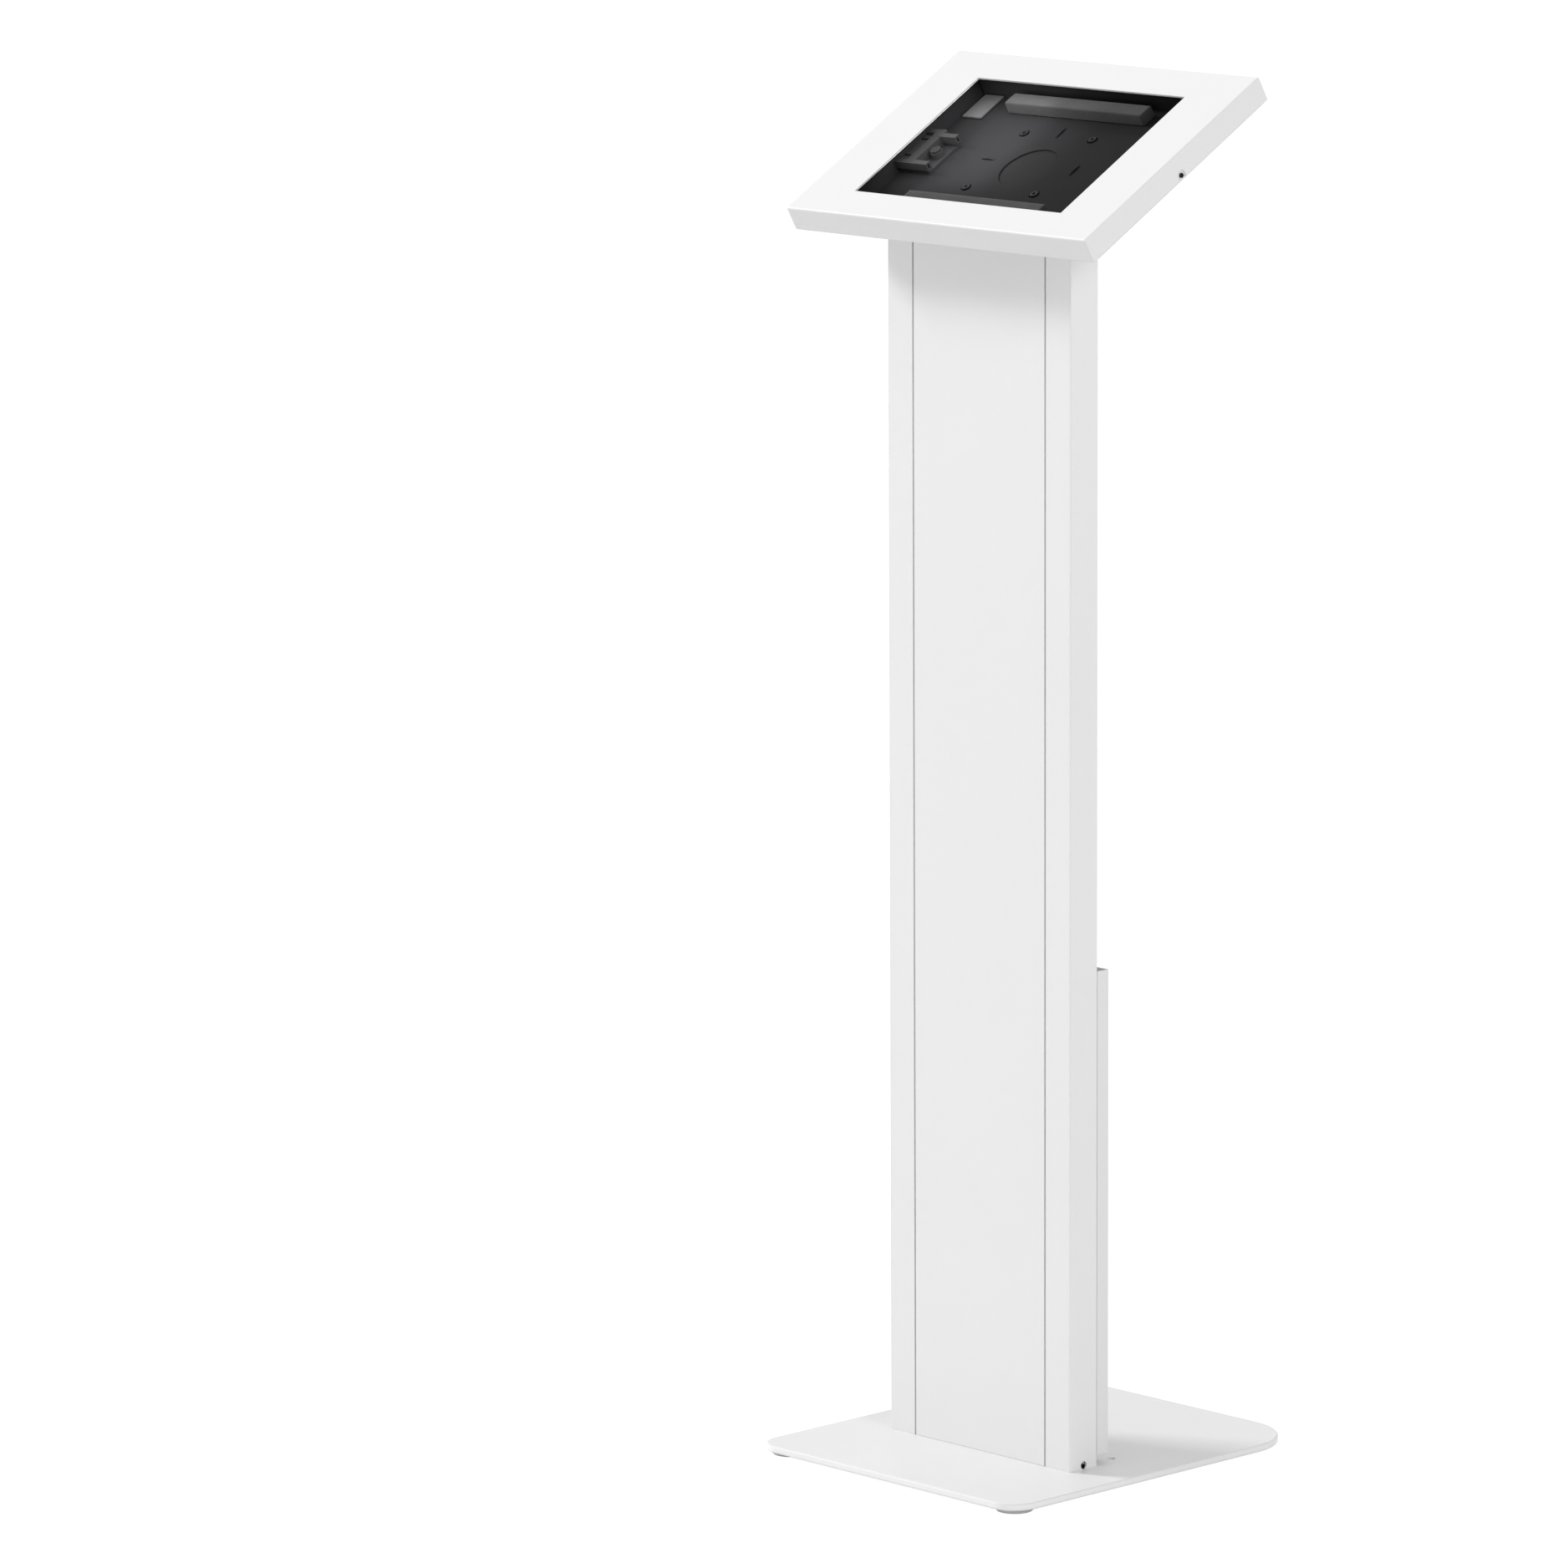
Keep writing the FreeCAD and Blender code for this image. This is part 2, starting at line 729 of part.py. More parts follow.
def make_rear_tray():
    """White folded tray that closes the head from behind, with open corners."""
    half_u = head_width / 2 - cover_sheet - tray_gap
    half_v = head_length / 2 - cover_sheet - tray_gap
    relief = tray_corner_relief
    floor_top = underside_depth - tray_sheet
    pieces = [
        layer(-half_u + relief, half_u - relief, -half_v, half_v, floor_top, underside_depth),
        layer(-half_u, half_u, -half_v + relief, half_v - relief, floor_top, underside_depth),
    ]
    for side in (-1, 1):
        a, b = sorted((side * half_u, side * (half_u - tray_sheet)))
        pieces.append(layer(a, b, -half_v + relief, half_v - relief, tray_top_depth, underside_depth))
        a, b = sorted((side * half_v, side * (half_v - tray_sheet)))
        pieces.append(layer(-half_u + relief, half_u - relief, a, b, tray_top_depth, underside_depth))
    cuts = []
    below = -underside_depth - past
    above = -floor_top + cross
    for u, v in vesa_places():
        cuts.append(rod(vesa_screw_radius + hole_gap, Vector(u, v, below), Vector(u, v, above)))
    for u, v in rivet_places():
        cuts.append(rod(rivet_radius + thread_gap, Vector(u, v, below), Vector(u, v, above)))
    cuts.append(rod(head_grommet_neck_radius + soft_gap, Vector(head_lead_u, head_lead_v, below),
                    Vector(head_lead_u, head_lead_v, above)))
    u, v = plug_screw_place()
    cuts.append(rod(plug_screw_radius + thread_gap, Vector(u, v, below), Vector(u, v, above)))
    cuts.append(rod(lock_screw_radius + hole_gap, Vector(-half_u - past, lock_v, -lock_depth),
                    Vector(half_u + past, lock_v, -lock_depth)))
    return tilted(join(pieces).cut(cuts))


def tie_slot(place, along_v):
    """Round-ended slot for a cable tie in the cradle's floor."""
    u, v = place
    reach = (tie_slot_length - tie_slot_width) / 2
    way = Vector(0, reach, 0) if along_v else Vector(reach, 0, 0)
    side = Vector(tie_slot_width / 2, 0, 0) if along_v else Vector(0, tie_slot_width / 2, 0)
    floor_top = -cradle_floor_depth + cross
    floor_bottom = -cradle_floor_depth - cradle_sheet - cross
    middle = Vector(u, v, floor_bottom)
    ends = []
    for sign in (-1, 1):
        end = middle + way * sign
        ends.append(rod(tie_slot_width / 2, end, Vector(end.x, end.y, floor_top)))
    low = middle - way - side
    high = middle + way + side
    return join([box(low.x, high.x, low.y, high.y, floor_bottom, floor_top)] + ends)


def cradle_corner_gaps():
    """Open corners between the four folded walls of the cradle."""
    gaps = []
    for side_u in (-1, 1):
        for side_v in (-1, 1):
            u = sorted([side_u * cradle_width / 2, side_u * (cradle_width / 2 + cradle_sheet + past)])
            v = sorted([side_v * (cradle_length / 2 - cradle_corner_gap),
                        side_v * (cradle_length / 2 + cradle_sheet + past)])
            gaps.append(layer(u[0], u[1], v[0], v[1], cradle_top_depth - past, cradle_floor_depth))
    return gaps


def make_cradle():
    """Black folded tray that the tablet lies in, with its mounting, lead and tie holes."""
    inner_u = cradle_width / 2
    inner_v = cradle_length / 2
    outer_u = inner_u + cradle_sheet
    outer_v = inner_v + cradle_sheet
    bottom = cradle_floor_depth + cradle_sheet
    shell = layer(-outer_u, outer_u, -outer_v, outer_v, cradle_top_depth, bottom)
    hollow = layer(-inner_u, inner_u, -inner_v, inner_v, cradle_top_depth - past, cradle_floor_depth)
    cuts = [hollow] + cradle_corner_gaps()
    below = -bottom - past
    above = -cradle_floor_depth + cross
    for u, v in vesa_places():
        cuts.append(rod(vesa_clear_radius, Vector(u, v, below), Vector(u, v, above)))
    for u, v in rivet_places():
        cuts.append(rod(rivet_radius + thread_gap, Vector(u, v, below), Vector(u, v, above)))
        cuts.append(taper(rivet_radius + thread_gap, rivet_head_radius + hole_gap,
                          Vector(u, v, -cradle_floor_depth - rivet_head_height),
                          Vector(u, v, -cradle_floor_depth)))
    cuts.append(rod(cradle_hole_radius, Vector(cradle_hole_u, cradle_hole_v, below),
                    Vector(cradle_hole_u, cradle_hole_v, above)))
    cuts.append(rod(head_grommet_neck_radius + soft_gap, Vector(head_lead_u, head_lead_v, below),
                    Vector(head_lead_u, head_lead_v, above)))
    u, v = plug_screw_place()
    cuts.append(rod(plug_screw_radius + thread_gap, Vector(u, v, below), Vector(u, v, above)))
    cuts.append(tie_slot(tie_slot_top, True))
    cuts.append(tie_slot(tie_slot_right, True))
    cuts.append(tie_slot(tie_slot_left, False))
    return tilted(shell.cut(cuts))


def make_cradle_rivets():
    """Four flush rivets through the cradle and the tray."""
    rivets = []
    for u, v in rivet_places():
        top = Vector(u, v, -cradle_floor_depth)
        neck = Vector(u, v, -cradle_floor_depth - rivet_head_height)
        head = taper(rivet_head_radius, rivet_radius, top, neck)
        shank = rod(rivet_radius, top, Vector(u, v, -underside_depth))
        rivets.append(tilted(join([head, shank])))
    return group(rivets)


def make_vesa_screws():
    """Four pan-head screws through the tray into the bracket's plate."""
    seat = underside_depth - tray_sheet
    screws = []
    for u, v in vesa_places():
        head = rod(vesa_head_radius, Vector(u, v, -seat), Vector(u, v, -seat + vesa_head_height))
        shank = rod(vesa_screw_radius, Vector(u, v, -underside_depth - bracket_sheet - vesa_tip_out),
                    Vector(u, v, -seat + cross))
        socket = hexagon(2 * hex_socket_radius, Vector(u, v, -seat + vesa_head_height + past),
                         Vector(u, v, -seat + vesa_head_height - vesa_socket_depth))
        screws.append(tilted(join([head, shank]).cut(socket)))
    return group(screws)


def make_head_grommet():
    """Rubber ring where the lead enters the head from the column's open top."""
    top = cradle_floor_depth - soft_gap
    bottom = underside_depth + soft_gap
    axis = Vector(head_lead_u, head_lead_v, 0)
    ring = join([
        rod(head_grommet_neck_radius, axis - Vector(0, 0, bottom + cross), axis - Vector(0, 0, top - cross)),
        rod(head_grommet_flange_radius, axis - Vector(0, 0, bottom + head_grommet_flange_sheet),
            axis - Vector(0, 0, bottom)),
        rod(head_grommet_flange_radius, axis - Vector(0, 0, top),
            axis - Vector(0, 0, top - head_grommet_flange_sheet)),
    ])
    bore = rod(head_grommet_bore_radius, axis - Vector(0, 0, bottom + head_grommet_flange_sheet + past),
               axis - Vector(0, 0, top - head_grommet_flange_sheet - past))
    return tilted(ring.cut(bore))


def make_foam_strip(side):
    """Foam strip across the cradle; side is -1 at the front and 1 at the rear."""
    middle = side * foam_v
    strip = layer(-foam_length / 2, foam_length / 2, middle - foam_width / 2, middle + foam_width / 2,
                  foam_top_depth, cradle_floor_depth - soft_gap)
    return tilted(strip)


def make_corner_pads():
    """Two thin foam pads in the cradle's rear corners."""
    pads = []
    for side in (-1, 1):
        u = side * corner_pad_u
        pad = layer(u - corner_pad_width / 2, u + corner_pad_width / 2,
                    corner_pad_v - corner_pad_length / 2, corner_pad_v + corner_pad_length / 2,
                    cradle_floor_depth - soft_gap - corner_pad_height, cradle_floor_depth - soft_gap)
        pads.append(tilted(pad))
    return group(pads)


def plug_wall():
    """Inner face of the cradle's left wall, which the plug bracket stands against."""
    return -cradle_width / 2


def plug_screw_place():
    """Place of the screw that holds the plug bracket."""
    return (plug_wall() + plug_screw_reach, plug_bracket_v)


def plug_arms():
    """Start, end and middle line of the bracket's arms; the rear one steps forward at the web."""
    wall = plug_wall()
    tip = wall + plug_arm_reach
    web = wall + plug_web_setback
    front = plug_bracket_v - plug_arm_spread / 2
    rear = plug_bracket_v + plug_arm_spread / 2
    return [(wall, tip, front), (wall, web + plug_web_width, rear), (web, tip, rear - plug_rear_jog)]


def plug_tip_slots():
    """Blind slots in the tips of the two long arms."""
    slots = []
    for start, tip, v in plug_arms():
        if tip == plug_wall() + plug_arm_reach:
            slots.append(layer(tip - plug_tip_slot_depth, tip + past, v - plug_tip_slot_width / 2,
                               v + plug_tip_slot_width / 2, plug_top_depth + plug_tip_wall,
                               plug_top_depth + plug_arm_height - plug_tip_wall))
    return slots


def make_plug_bracket():
    """Moulded bracket with two arms, a web and a slotted shelf round the charging plug."""
    wall = plug_wall()
    floor = cradle_floor_depth
    web_left = wall + plug_web_setback
    arm_half = plug_arm_width / 2
    pieces = []
    for start, end, v in plug_arms():
        pieces.append(layer(start, end, v - arm_half, v + arm_half, plug_top_depth,
                            plug_top_depth + plug_arm_height))
    low_v = plug_bracket_v - plug_arm_spread / 2
    high_v = plug_bracket_v + plug_arm_spread / 2
    pieces.append(layer(web_left, web_left + plug_web_width, low_v, high_v,
                        plug_top_depth + plug_web_step, floor))
    pieces.append(layer(wall, wall + plug_plate_reach, low_v, high_v - plug_rear_jog, floor - plug_plate_sheet,
                        floor))
    pieces.append(layer(wall, web_left + past, low_v, high_v, plug_shelf_depth,
                        plug_shelf_depth + plug_shelf_sheet))
    u, v = plug_screw_place()
    pieces.append(rod(plug_boss_radius, Vector(u, v, -floor), Vector(u, v, -plug_boss_depth)))
    cuts = plug_tip_slots()
    for offset in plug_slot_offsets:
        middle = plug_bracket_v + offset
        cuts.append(layer(wall - past, web_left, middle - plug_slot_width / 2, middle + plug_slot_width / 2,
                          plug_shelf_depth - past, plug_shelf_depth + plug_shelf_sheet + past))
    cuts.append(rod(plug_screw_radius + hole_gap, Vector(u, v, -floor - past),
                    Vector(u, v, -plug_boss_depth + past)))
    return tilted(join(pieces).cut(cuts))


def make_plug_bracket_screw():
    """Two-pin security screw through the bracket's boss into the tray."""
    u, v = plug_screw_place()
    top = -plug_boss_depth + plug_screw_head_height
    head = rod(plug_screw_head_radius, Vector(u, v, -plug_boss_depth), Vector(u, v, top))
    shank = rod(plug_screw_radius, Vector(u, v, -underside_depth), Vector(u, v, -plug_boss_depth + cross))
    sockets = []
    for side in (-1, 1):
        pin_v = v + side * pin_socket_spacing / 2
        sockets.append(rod(pin_socket_radius, Vector(u, pin_v, top + past),
                           Vector(u, pin_v, top - pin_socket_depth)))
    return tilted(join([head, shank]).cut(sockets))


def round_cover(cover):
    """Rounds the bends of the cover's face and its four corners."""
    half_u = head_width / 2
    half_v = head_length / 2
    edges = []
    for edge in cover.Edges:
        ends = [vertex.Point for vertex in edge.Vertexes]
        if len(ends) != 2:
            continue
        middle = (ends[0] + ends[1]) * 0.5
        on_u = abs(abs(middle.x) - half_u) < same_place
        on_v = abs(abs(middle.y) - half_v) < same_place
        on_face = abs(middle.z) < same_place
        if (on_u and on_v) or (on_face and (on_u or on_v)):
            edges.append(edge)
    return cover.makeFillet(cover_bend_radius, edges)


def lock_pocket(side):
    """Arched recess round a locking screw, open through the wall below the screw's head."""
    half = head_width / 2
    u = sorted([side * (half - lock_pocket_depth), side * (half + past)])
    wall = sorted([side * (half - cover_sheet - past), side * (half + past)])
    v0 = lock_v - lock_pocket_radius
    v1 = lock_v + lock_pocket_radius
    arch = rod(lock_pocket_radius, Vector(u[0], lock_v, -lock_depth), Vector(u[1], lock_v, -lock_depth))
    skirt = layer(u[0], u[1], v0, v1, lock_depth, cover_depth + past)
    bite = layer(wall[0], wall[1], v0, v1, lock_depth + lock_head_radius, cover_depth + past)
    return join([arch, skirt, bite])


def make_front_cover():
    """White folded cover with the screen window and a slot for each locking screw."""
    half_u = head_width / 2
    half_v = head_length / 2
    cover = round_cover(layer(-half_u, half_u, -half_v, half_v, 0, cover_depth))
    hollow = layer(-half_u + cover_sheet, half_u - cover_sheet, -half_v + cover_sheet,
                   half_v - cover_sheet, cover_sheet, cover_depth + past)
    window = layer(-window_width / 2, window_width / 2, window_offset - window_length / 2,
                   window_offset + window_length / 2, -past, cover_sheet + past)
    notch = lock_screw_radius + lock_notch_gap
    slot = join([
        rod(notch, Vector(-half_u - past, lock_v, -lock_depth), Vector(half_u + past, lock_v, -lock_depth)),
        layer(-half_u - past, half_u + past, lock_v - notch, lock_v + notch, lock_depth, cover_depth + past),
    ])
    return tilted(cover.cut([hollow, window, slot, lock_pocket(-1), lock_pocket(1)]))


def make_lock_screw(side):
    """Security screw in the cover's side; side is -1 at the left and 1 at the right."""
    face = side * (head_width / 2 - lock_pocket_depth)
    axis = Vector(0, lock_v, -lock_depth)
    crown = face + side * lock_head_height
    head = rod(lock_head_radius, axis + Vector(face, 0, 0), axis + Vector(crown, 0, 0))
    shank = rod(lock_screw_radius, axis + Vector(face - side * lock_screw_length, 0, 0),
                axis + Vector(face + side * cross, 0, 0))
    socket = hexagon(2 * lock_socket_radius, axis + Vector(crown + side * past, 0, 0),
                     axis + Vector(crown - side * lock_socket_depth, 0, 0))
    return tilted(join([head, shank]).cut(socket))


def make_lock_nuts():
    """Two threaded inserts behind the tray's side walls."""
    face = head_width / 2 - cover_sheet - tray_gap - tray_sheet
    axis = Vector(0, lock_v, -lock_depth)
    nuts = []
    for side in (-1, 1):
        start = axis + Vector(side * face, 0, 0)
        end = axis + Vector(side * (face - lock_nut_length), 0, 0)
        bore = rod(lock_screw_radius + thread_gap, start + Vector(side, 0, 0), end - Vector(side, 0, 0))
        nuts.append(tilted(rod(lock_nut_radius, start, end).cut(bore)))
    return group(nuts)


pieces = {
    "base_plate": make_base_plate(),
    "feet": make_feet(),
    "foot_screws": make_foot_screws(),
    "foot_bar": make_foot_bar(),
    "bar_bolts": make_bar_bolts(),
    "side_lock_screws": make_side_lock_screws(),
    "column_back": make_column_back(),
    "column_sides": make_column_sides(),
    "column_flanges": make_column_flanges(),
    "cross_rails": make_rails(),
    "stud_sockets": make_sockets(),
    "front_panel": make_front_panel(),
    "panel_studs": make_studs(),
    "rear_cover": make_rear_cover(),
    "rear_cover_hooks": make_rear_cover_hooks(),
    "column_grommet": make_grommet(),
    "head_bracket": make_head_bracket(),
    "bracket_bolts": make_bracket_bolts(),
    "bracket_nuts": make_bracket_nuts(),
    "rear_tray": make_rear_tray(),
    "cradle": make_cradle(),
    "cradle_rivets": make_cradle_rivets(),
    "vesa_screws": make_vesa_screws(),
    "head_grommet": make_head_grommet(),
    "foam_strip_rear": make_foam_strip(1),
    "foam_strip_front": make_foam_strip(-1),
    "corner_pads": make_corner_pads(),
    "plug_bracket": make_plug_bracket(),
    "plug_bracket_screw": make_plug_bracket_screw(),
    "front_cover": make_front_cover(),
    "lock_screw_left": make_lock_screw(-1),
    "lock_screw_right": make_lock_screw(1),
    "lock_nuts": make_lock_nuts(),
}

os.makedirs("parts", exist_ok=True)
for name, shape in pieces.items():
    shape.exportStep("parts/" + name + ".step")
    print(name, len(shape.Solids), round(shape.Volume), shape.isValid())
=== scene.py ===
# %% [markdown]
# # A floor stand for a tablet
#
# The stand is folded sheet steel with a white powder coat. Its head lies at thirty degrees on a
# slim column, and the window shows the black cradle that a tablet lies in. This lesson loads the
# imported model, gives each piece its finish, puts modelled foam in the place of the soft pieces,
# adds three small straps, and lights the whole in a plain white studio. Lengths are metres in the
# model's frame.

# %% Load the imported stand
import json
import math
import bmesh
import bpy
from mathutils import Matrix, Vector, noise


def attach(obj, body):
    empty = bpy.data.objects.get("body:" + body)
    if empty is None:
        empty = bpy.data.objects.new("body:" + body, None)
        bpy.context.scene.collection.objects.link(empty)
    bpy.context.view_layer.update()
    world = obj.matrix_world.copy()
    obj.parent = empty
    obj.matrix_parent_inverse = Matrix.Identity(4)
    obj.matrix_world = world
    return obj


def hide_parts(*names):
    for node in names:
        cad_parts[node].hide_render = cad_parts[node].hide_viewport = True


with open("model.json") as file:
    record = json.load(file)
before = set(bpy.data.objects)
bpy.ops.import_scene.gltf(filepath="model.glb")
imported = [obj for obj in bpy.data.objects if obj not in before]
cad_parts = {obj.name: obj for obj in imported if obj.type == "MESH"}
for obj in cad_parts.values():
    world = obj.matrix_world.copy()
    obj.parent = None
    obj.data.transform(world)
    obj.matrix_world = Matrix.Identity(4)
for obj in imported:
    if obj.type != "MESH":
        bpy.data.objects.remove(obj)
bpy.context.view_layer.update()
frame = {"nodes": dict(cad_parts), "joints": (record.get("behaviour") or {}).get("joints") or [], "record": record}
nodes = frame["nodes"]

# %% [markdown]
# A product picture is taken from far off with a long lens, so that upright edges stay upright and
# the piece isn't distorted. A short lens close by would fit the frame too, but the head would
# look too large. So this camera stands seven metres away, a little above the head, and looks
# slightly down.

# %% Camera place and lens
CAMERA_PLACE = Vector((4.9053, -4.9644, 1.7753))
CAMERA_YAW = 46.267
CAMERA_PITCH = -10.014
CAMERA_ROLL = -0.282
CAMERA_LENS = 205.02
CAMERA_SENSOR = 36.0


def placed(name, data):
    """Object that brings some data into the scene."""
    thing = bpy.data.objects.new(name, data)
    bpy.context.scene.collection.objects.link(thing)
    return thing


def turned(degrees, axis):
    """Turn about one axis as a 4x4 matrix."""
    return Matrix.Rotation(math.radians(degrees), 4, axis)


camera_data = bpy.data.cameras.new("camera")
camera_data.lens = CAMERA_LENS
camera_data.sensor_width = CAMERA_SENSOR
camera = placed("camera", camera_data)
camera.matrix_world = (Matrix.Translation(CAMERA_PLACE) @ turned(CAMERA_YAW, "Z")
                       @ turned(90 + CAMERA_PITCH, "X") @ turned(CAMERA_ROLL, "Z"))
bpy.context.scene.camera = camera
print("camera distance", round(CAMERA_PLACE.length, 2))

# %% [markdown]
# Pieces inside the head are easier to shape flat, along the head's own axes, and then to turn
# into place. Across runs along X, up runs up the slope, and out leaves the face. The joint that
# lifts the cover off already knows the way out, so the other two follow from it and nothing is
# typed twice.

# %% Axes of the tilted head
cover_lift = next(joint for joint in frame["joints"] if joint["name"] == "cover_lift")
HEAD_OUT = Vector(cover_lift["axis"]).normalized()
HEAD_ACROSS = Vector((1, 0, 0))
HEAD_UP = HEAD_OUT.cross(HEAD_ACROSS)
HEAD_TURN = Matrix((HEAD_ACROSS, HEAD_UP, HEAD_OUT)).transposed()
print("head leans back", round(math.degrees(HEAD_OUT.angle(Vector((0, 0, 1)))), 1), "degrees")

# %% Size of a piece along the head
def flat_points(node):
    """Corners of a node along the head's own axes."""
    return [HEAD_TURN.transposed() @ v.co for v in nodes[node].data.vertices]


def ends(points):
    """Lowest and highest corner of some points."""
    low = Vector([min(p[i] for p in points) for i in range(3)])
    high = Vector([max(p[i] for p in points) for i in range(3)])
    return low, high


cradle_low, cradle_high = ends(flat_points("cradle"))
print("cradle", [round(x, 4) for x in cradle_high - cradle_low])

# %% [markdown]
# Several finishes share an effect, such as the grain of a powder coat. It could be built again in
# every material, but a node group is made once and used everywhere. Each group here gives only
# colours, masks, heights or normals, and each material keeps its own shader.

# %% Helpers for node groups
COLOUR = "NodeSocketColor"
VALUE = "NodeSocketFloat"
VECTOR = "NodeSocketVector"


def full(colour):
    """Grey or three-part colour with its fourth part."""
    parts = (colour,) * 3 if isinstance(colour, float) else tuple(colour)
    return parts + (1.0,)


def new_group(name, inputs, outputs):
    """Empty shader node group with named sockets, and its two end nodes."""
    group = bpy.data.node_groups.new(name, "ShaderNodeTree")
    for label, kind, value in inputs:
        socket = group.interface.new_socket(label, in_out="INPUT", socket_type=kind)
        socket.default_value = value
    for label, kind in outputs:
        group.interface.new_socket(label, in_out="OUTPUT", socket_type=kind)
    return group, group.nodes.new("NodeGroupInput"), group.nodes.new("NodeGroupOutput")


def add(tree, kind, **values):
    """Adds a node and sets its properties and unlinked sockets."""
    node = tree.nodes.new(kind)
    for key, value in values.items():
        if hasattr(node, key):
            setattr(node, key, value)
        else:
            node.inputs[key.replace("_", " ")].default_value = value
    return node


print("helpers ready")

# %% [markdown]
# A node tree is mostly small sums. Three helpers write them in one line each: a value stretched
# from one range to another, values put through one operation, and two colours mixed by a factor.

# %% Helpers for sums of values and colours
def remapped(tree, source, low, high, start=0.0, stop=1.0):
    """A value stretched from start..stop to low..high."""
    change = add(tree, "ShaderNodeMapRange", From_Min=start, From_Max=stop, To_Min=low, To_Max=high)
    tree.links.new(source, change.inputs["Value"])
    return change.outputs["Result"]


def worked(tree, operation, *values):
    """Values and plain numbers put through one operation."""
    step = add(tree, "ShaderNodeMath", operation=operation)
    for socket, value in zip(step.inputs, values):
        if isinstance(value, float):
            socket.default_value = value
        else:
            tree.links.new(value, socket)
    return step.outputs[0]


def blended(tree, factor, first, second):
    """Two colours mixed by a factor."""
    mix = add(tree, "ShaderNodeMix", data_type="RGBA")
    tree.links.new(factor, mix.inputs["Factor"])
    tree.links.new(first, mix.inputs["A"])
    tree.links.new(second, mix.inputs["B"])
    return mix.outputs["Result"]


print("sums ready")

# %% [markdown]
# Cut and folded sheet has a small round on every edge, where the coat pulls thin and takes the
# first knocks. The edges could be rounded in the mesh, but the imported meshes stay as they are, so
# the bevel node rounds the shading only. Where its normal leans away from the face's own normal
# there is an edge: the mask is none where the two nearly agree and full where they lean apart.

# %% Rounded and worn edges
SHEET_RADIUS = 0.0006
EDGE_SAMPLES = 4
EDGE_LEAN = (0.90, 0.995)


def edge_group():
    """Normal that is rounded at edges, and a mask that is 1 on them."""
    group, start, end = new_group(
        "sheet_edge", [("Radius", VALUE, SHEET_RADIUS)], [("Normal", VECTOR), ("Edge", VALUE)])
    bevel = add(group, "ShaderNodeBevel", samples=EDGE_SAMPLES)
    group.links.new(start.outputs["Radius"], bevel.inputs["Radius"])
    group.links.new(bevel.outputs["Normal"], end.inputs["Normal"])
    face = add(group, "ShaderNodeNewGeometry")
    lean = add(group, "ShaderNodeVectorMath", operation="DOT_PRODUCT")
    group.links.new(bevel.outputs["Normal"], lean.inputs[0])
    group.links.new(face.outputs["True Normal"], lean.inputs[1])
    mask = remapped(group, lean.outputs["Value"], 1.0, 0.0, *EDGE_LEAN)
    group.links.new(mask, end.inputs["Edge"])
    return group


SHEET_EDGE = edge_group()
print("group", SHEET_EDGE.name)

# %% [markdown]
# Powder coat melts into a skin with a fine orange peel, under a millimetre from crest to crest,
# and its tone wavers a little over a hand's breadth. Three noises give this: the peel and a finer
# speck for the height, and a broad cloud with some speck for the tone, and alone for the gloss. A
# fourth noise breaks a paler, smoother edge tone into patches: real wear on the black finishes,
# the metals and the nylon, and a painted highlight on the edges of the white coats.

# %% Grain of a powder coat
SPECK_SCALE = 2600.0
CLOUD_SCALE = 9.0
PATCH_SCALE = 60.0
SPECK_IN_TONE = 0.35
SPECK_IN_HEIGHT = 0.25
TONE_SPAN = (0.35, 1.0)
GLOSS_SPAN = (-0.05, 0.07)
PATCH_SPAN = (0.45, 0.62)
WEAR_AND_HIGHLIGHT_LEAST = 0.15
WEAR_POLISH = 0.06


def grain_group():
    """Colour, roughness and bump height of a coated surface."""
    group, start, end = new_group(
        "powder_grain",
        [("Colour", COLOUR, full(0.8)), ("Shade", COLOUR, full(0.7)), ("Worn", COLOUR, full(0.9)),
         ("Rough", VALUE, 0.5), ("Grain", VALUE, 700.0), ("Edge", VALUE, 0.0)],
        [("Colour", COLOUR), ("Roughness", VALUE), ("Height", VALUE)])
    link = group.links.new
    place = add(group, "ShaderNodeTexCoord").outputs["Object"]
    peel = add(group, "ShaderNodeTexNoise", Detail=3.0, Roughness=0.55)
    link(start.outputs["Grain"], peel.inputs["Scale"])
    speck = add(group, "ShaderNodeTexNoise", Scale=SPECK_SCALE, Detail=2.0)
    cloud = add(group, "ShaderNodeTexNoise", Scale=CLOUD_SCALE, Detail=4.0, Roughness=0.6)
    patch = add(group, "ShaderNodeTexNoise", Scale=PATCH_SCALE, Detail=5.0, Roughness=0.7)
    for texture in (peel, speck, cloud, patch):
        link(place, texture.inputs["Vector"])
    tone = worked(group, "MULTIPLY", speck.outputs["Fac"], SPECK_IN_TONE)
    tone = remapped(group, worked(group, "ADD", tone, cloud.outputs["Fac"]), 0.0, 1.0, *TONE_SPAN)
    skin = blended(group, tone, start.outputs["Colour"], start.outputs["Shade"])
    # Paler edge tone: wear on dark finishes and metals, a painted highlight on white coats.
    wear_and_highlight = remapped(group, patch.outputs["Fac"], WEAR_AND_HIGHLIGHT_LEAST, 1.0, *PATCH_SPAN)
    wear_and_highlight = worked(group, "MULTIPLY", wear_and_highlight, start.outputs["Edge"])
    link(blended(group, wear_and_highlight, skin, start.outputs["Worn"]), end.inputs["Colour"])
    gloss = remapped(group, cloud.outputs["Fac"], *GLOSS_SPAN)
    gloss = worked(group, "ADD", gloss, start.outputs["Rough"])
    gloss = worked(group, "SUBTRACT", gloss, worked(group, "MULTIPLY", wear_and_highlight, WEAR_POLISH))
    link(gloss, end.inputs["Roughness"])
    fine = worked(group, "MULTIPLY", speck.outputs["Fac"], SPECK_IN_HEIGHT)
    link(worked(group, "ADD", fine, peel.outputs["Fac"]), end.inputs["Height"])
    return group


POWDER_GRAIN = grain_group()
print("group", POWDER_GRAIN.name)
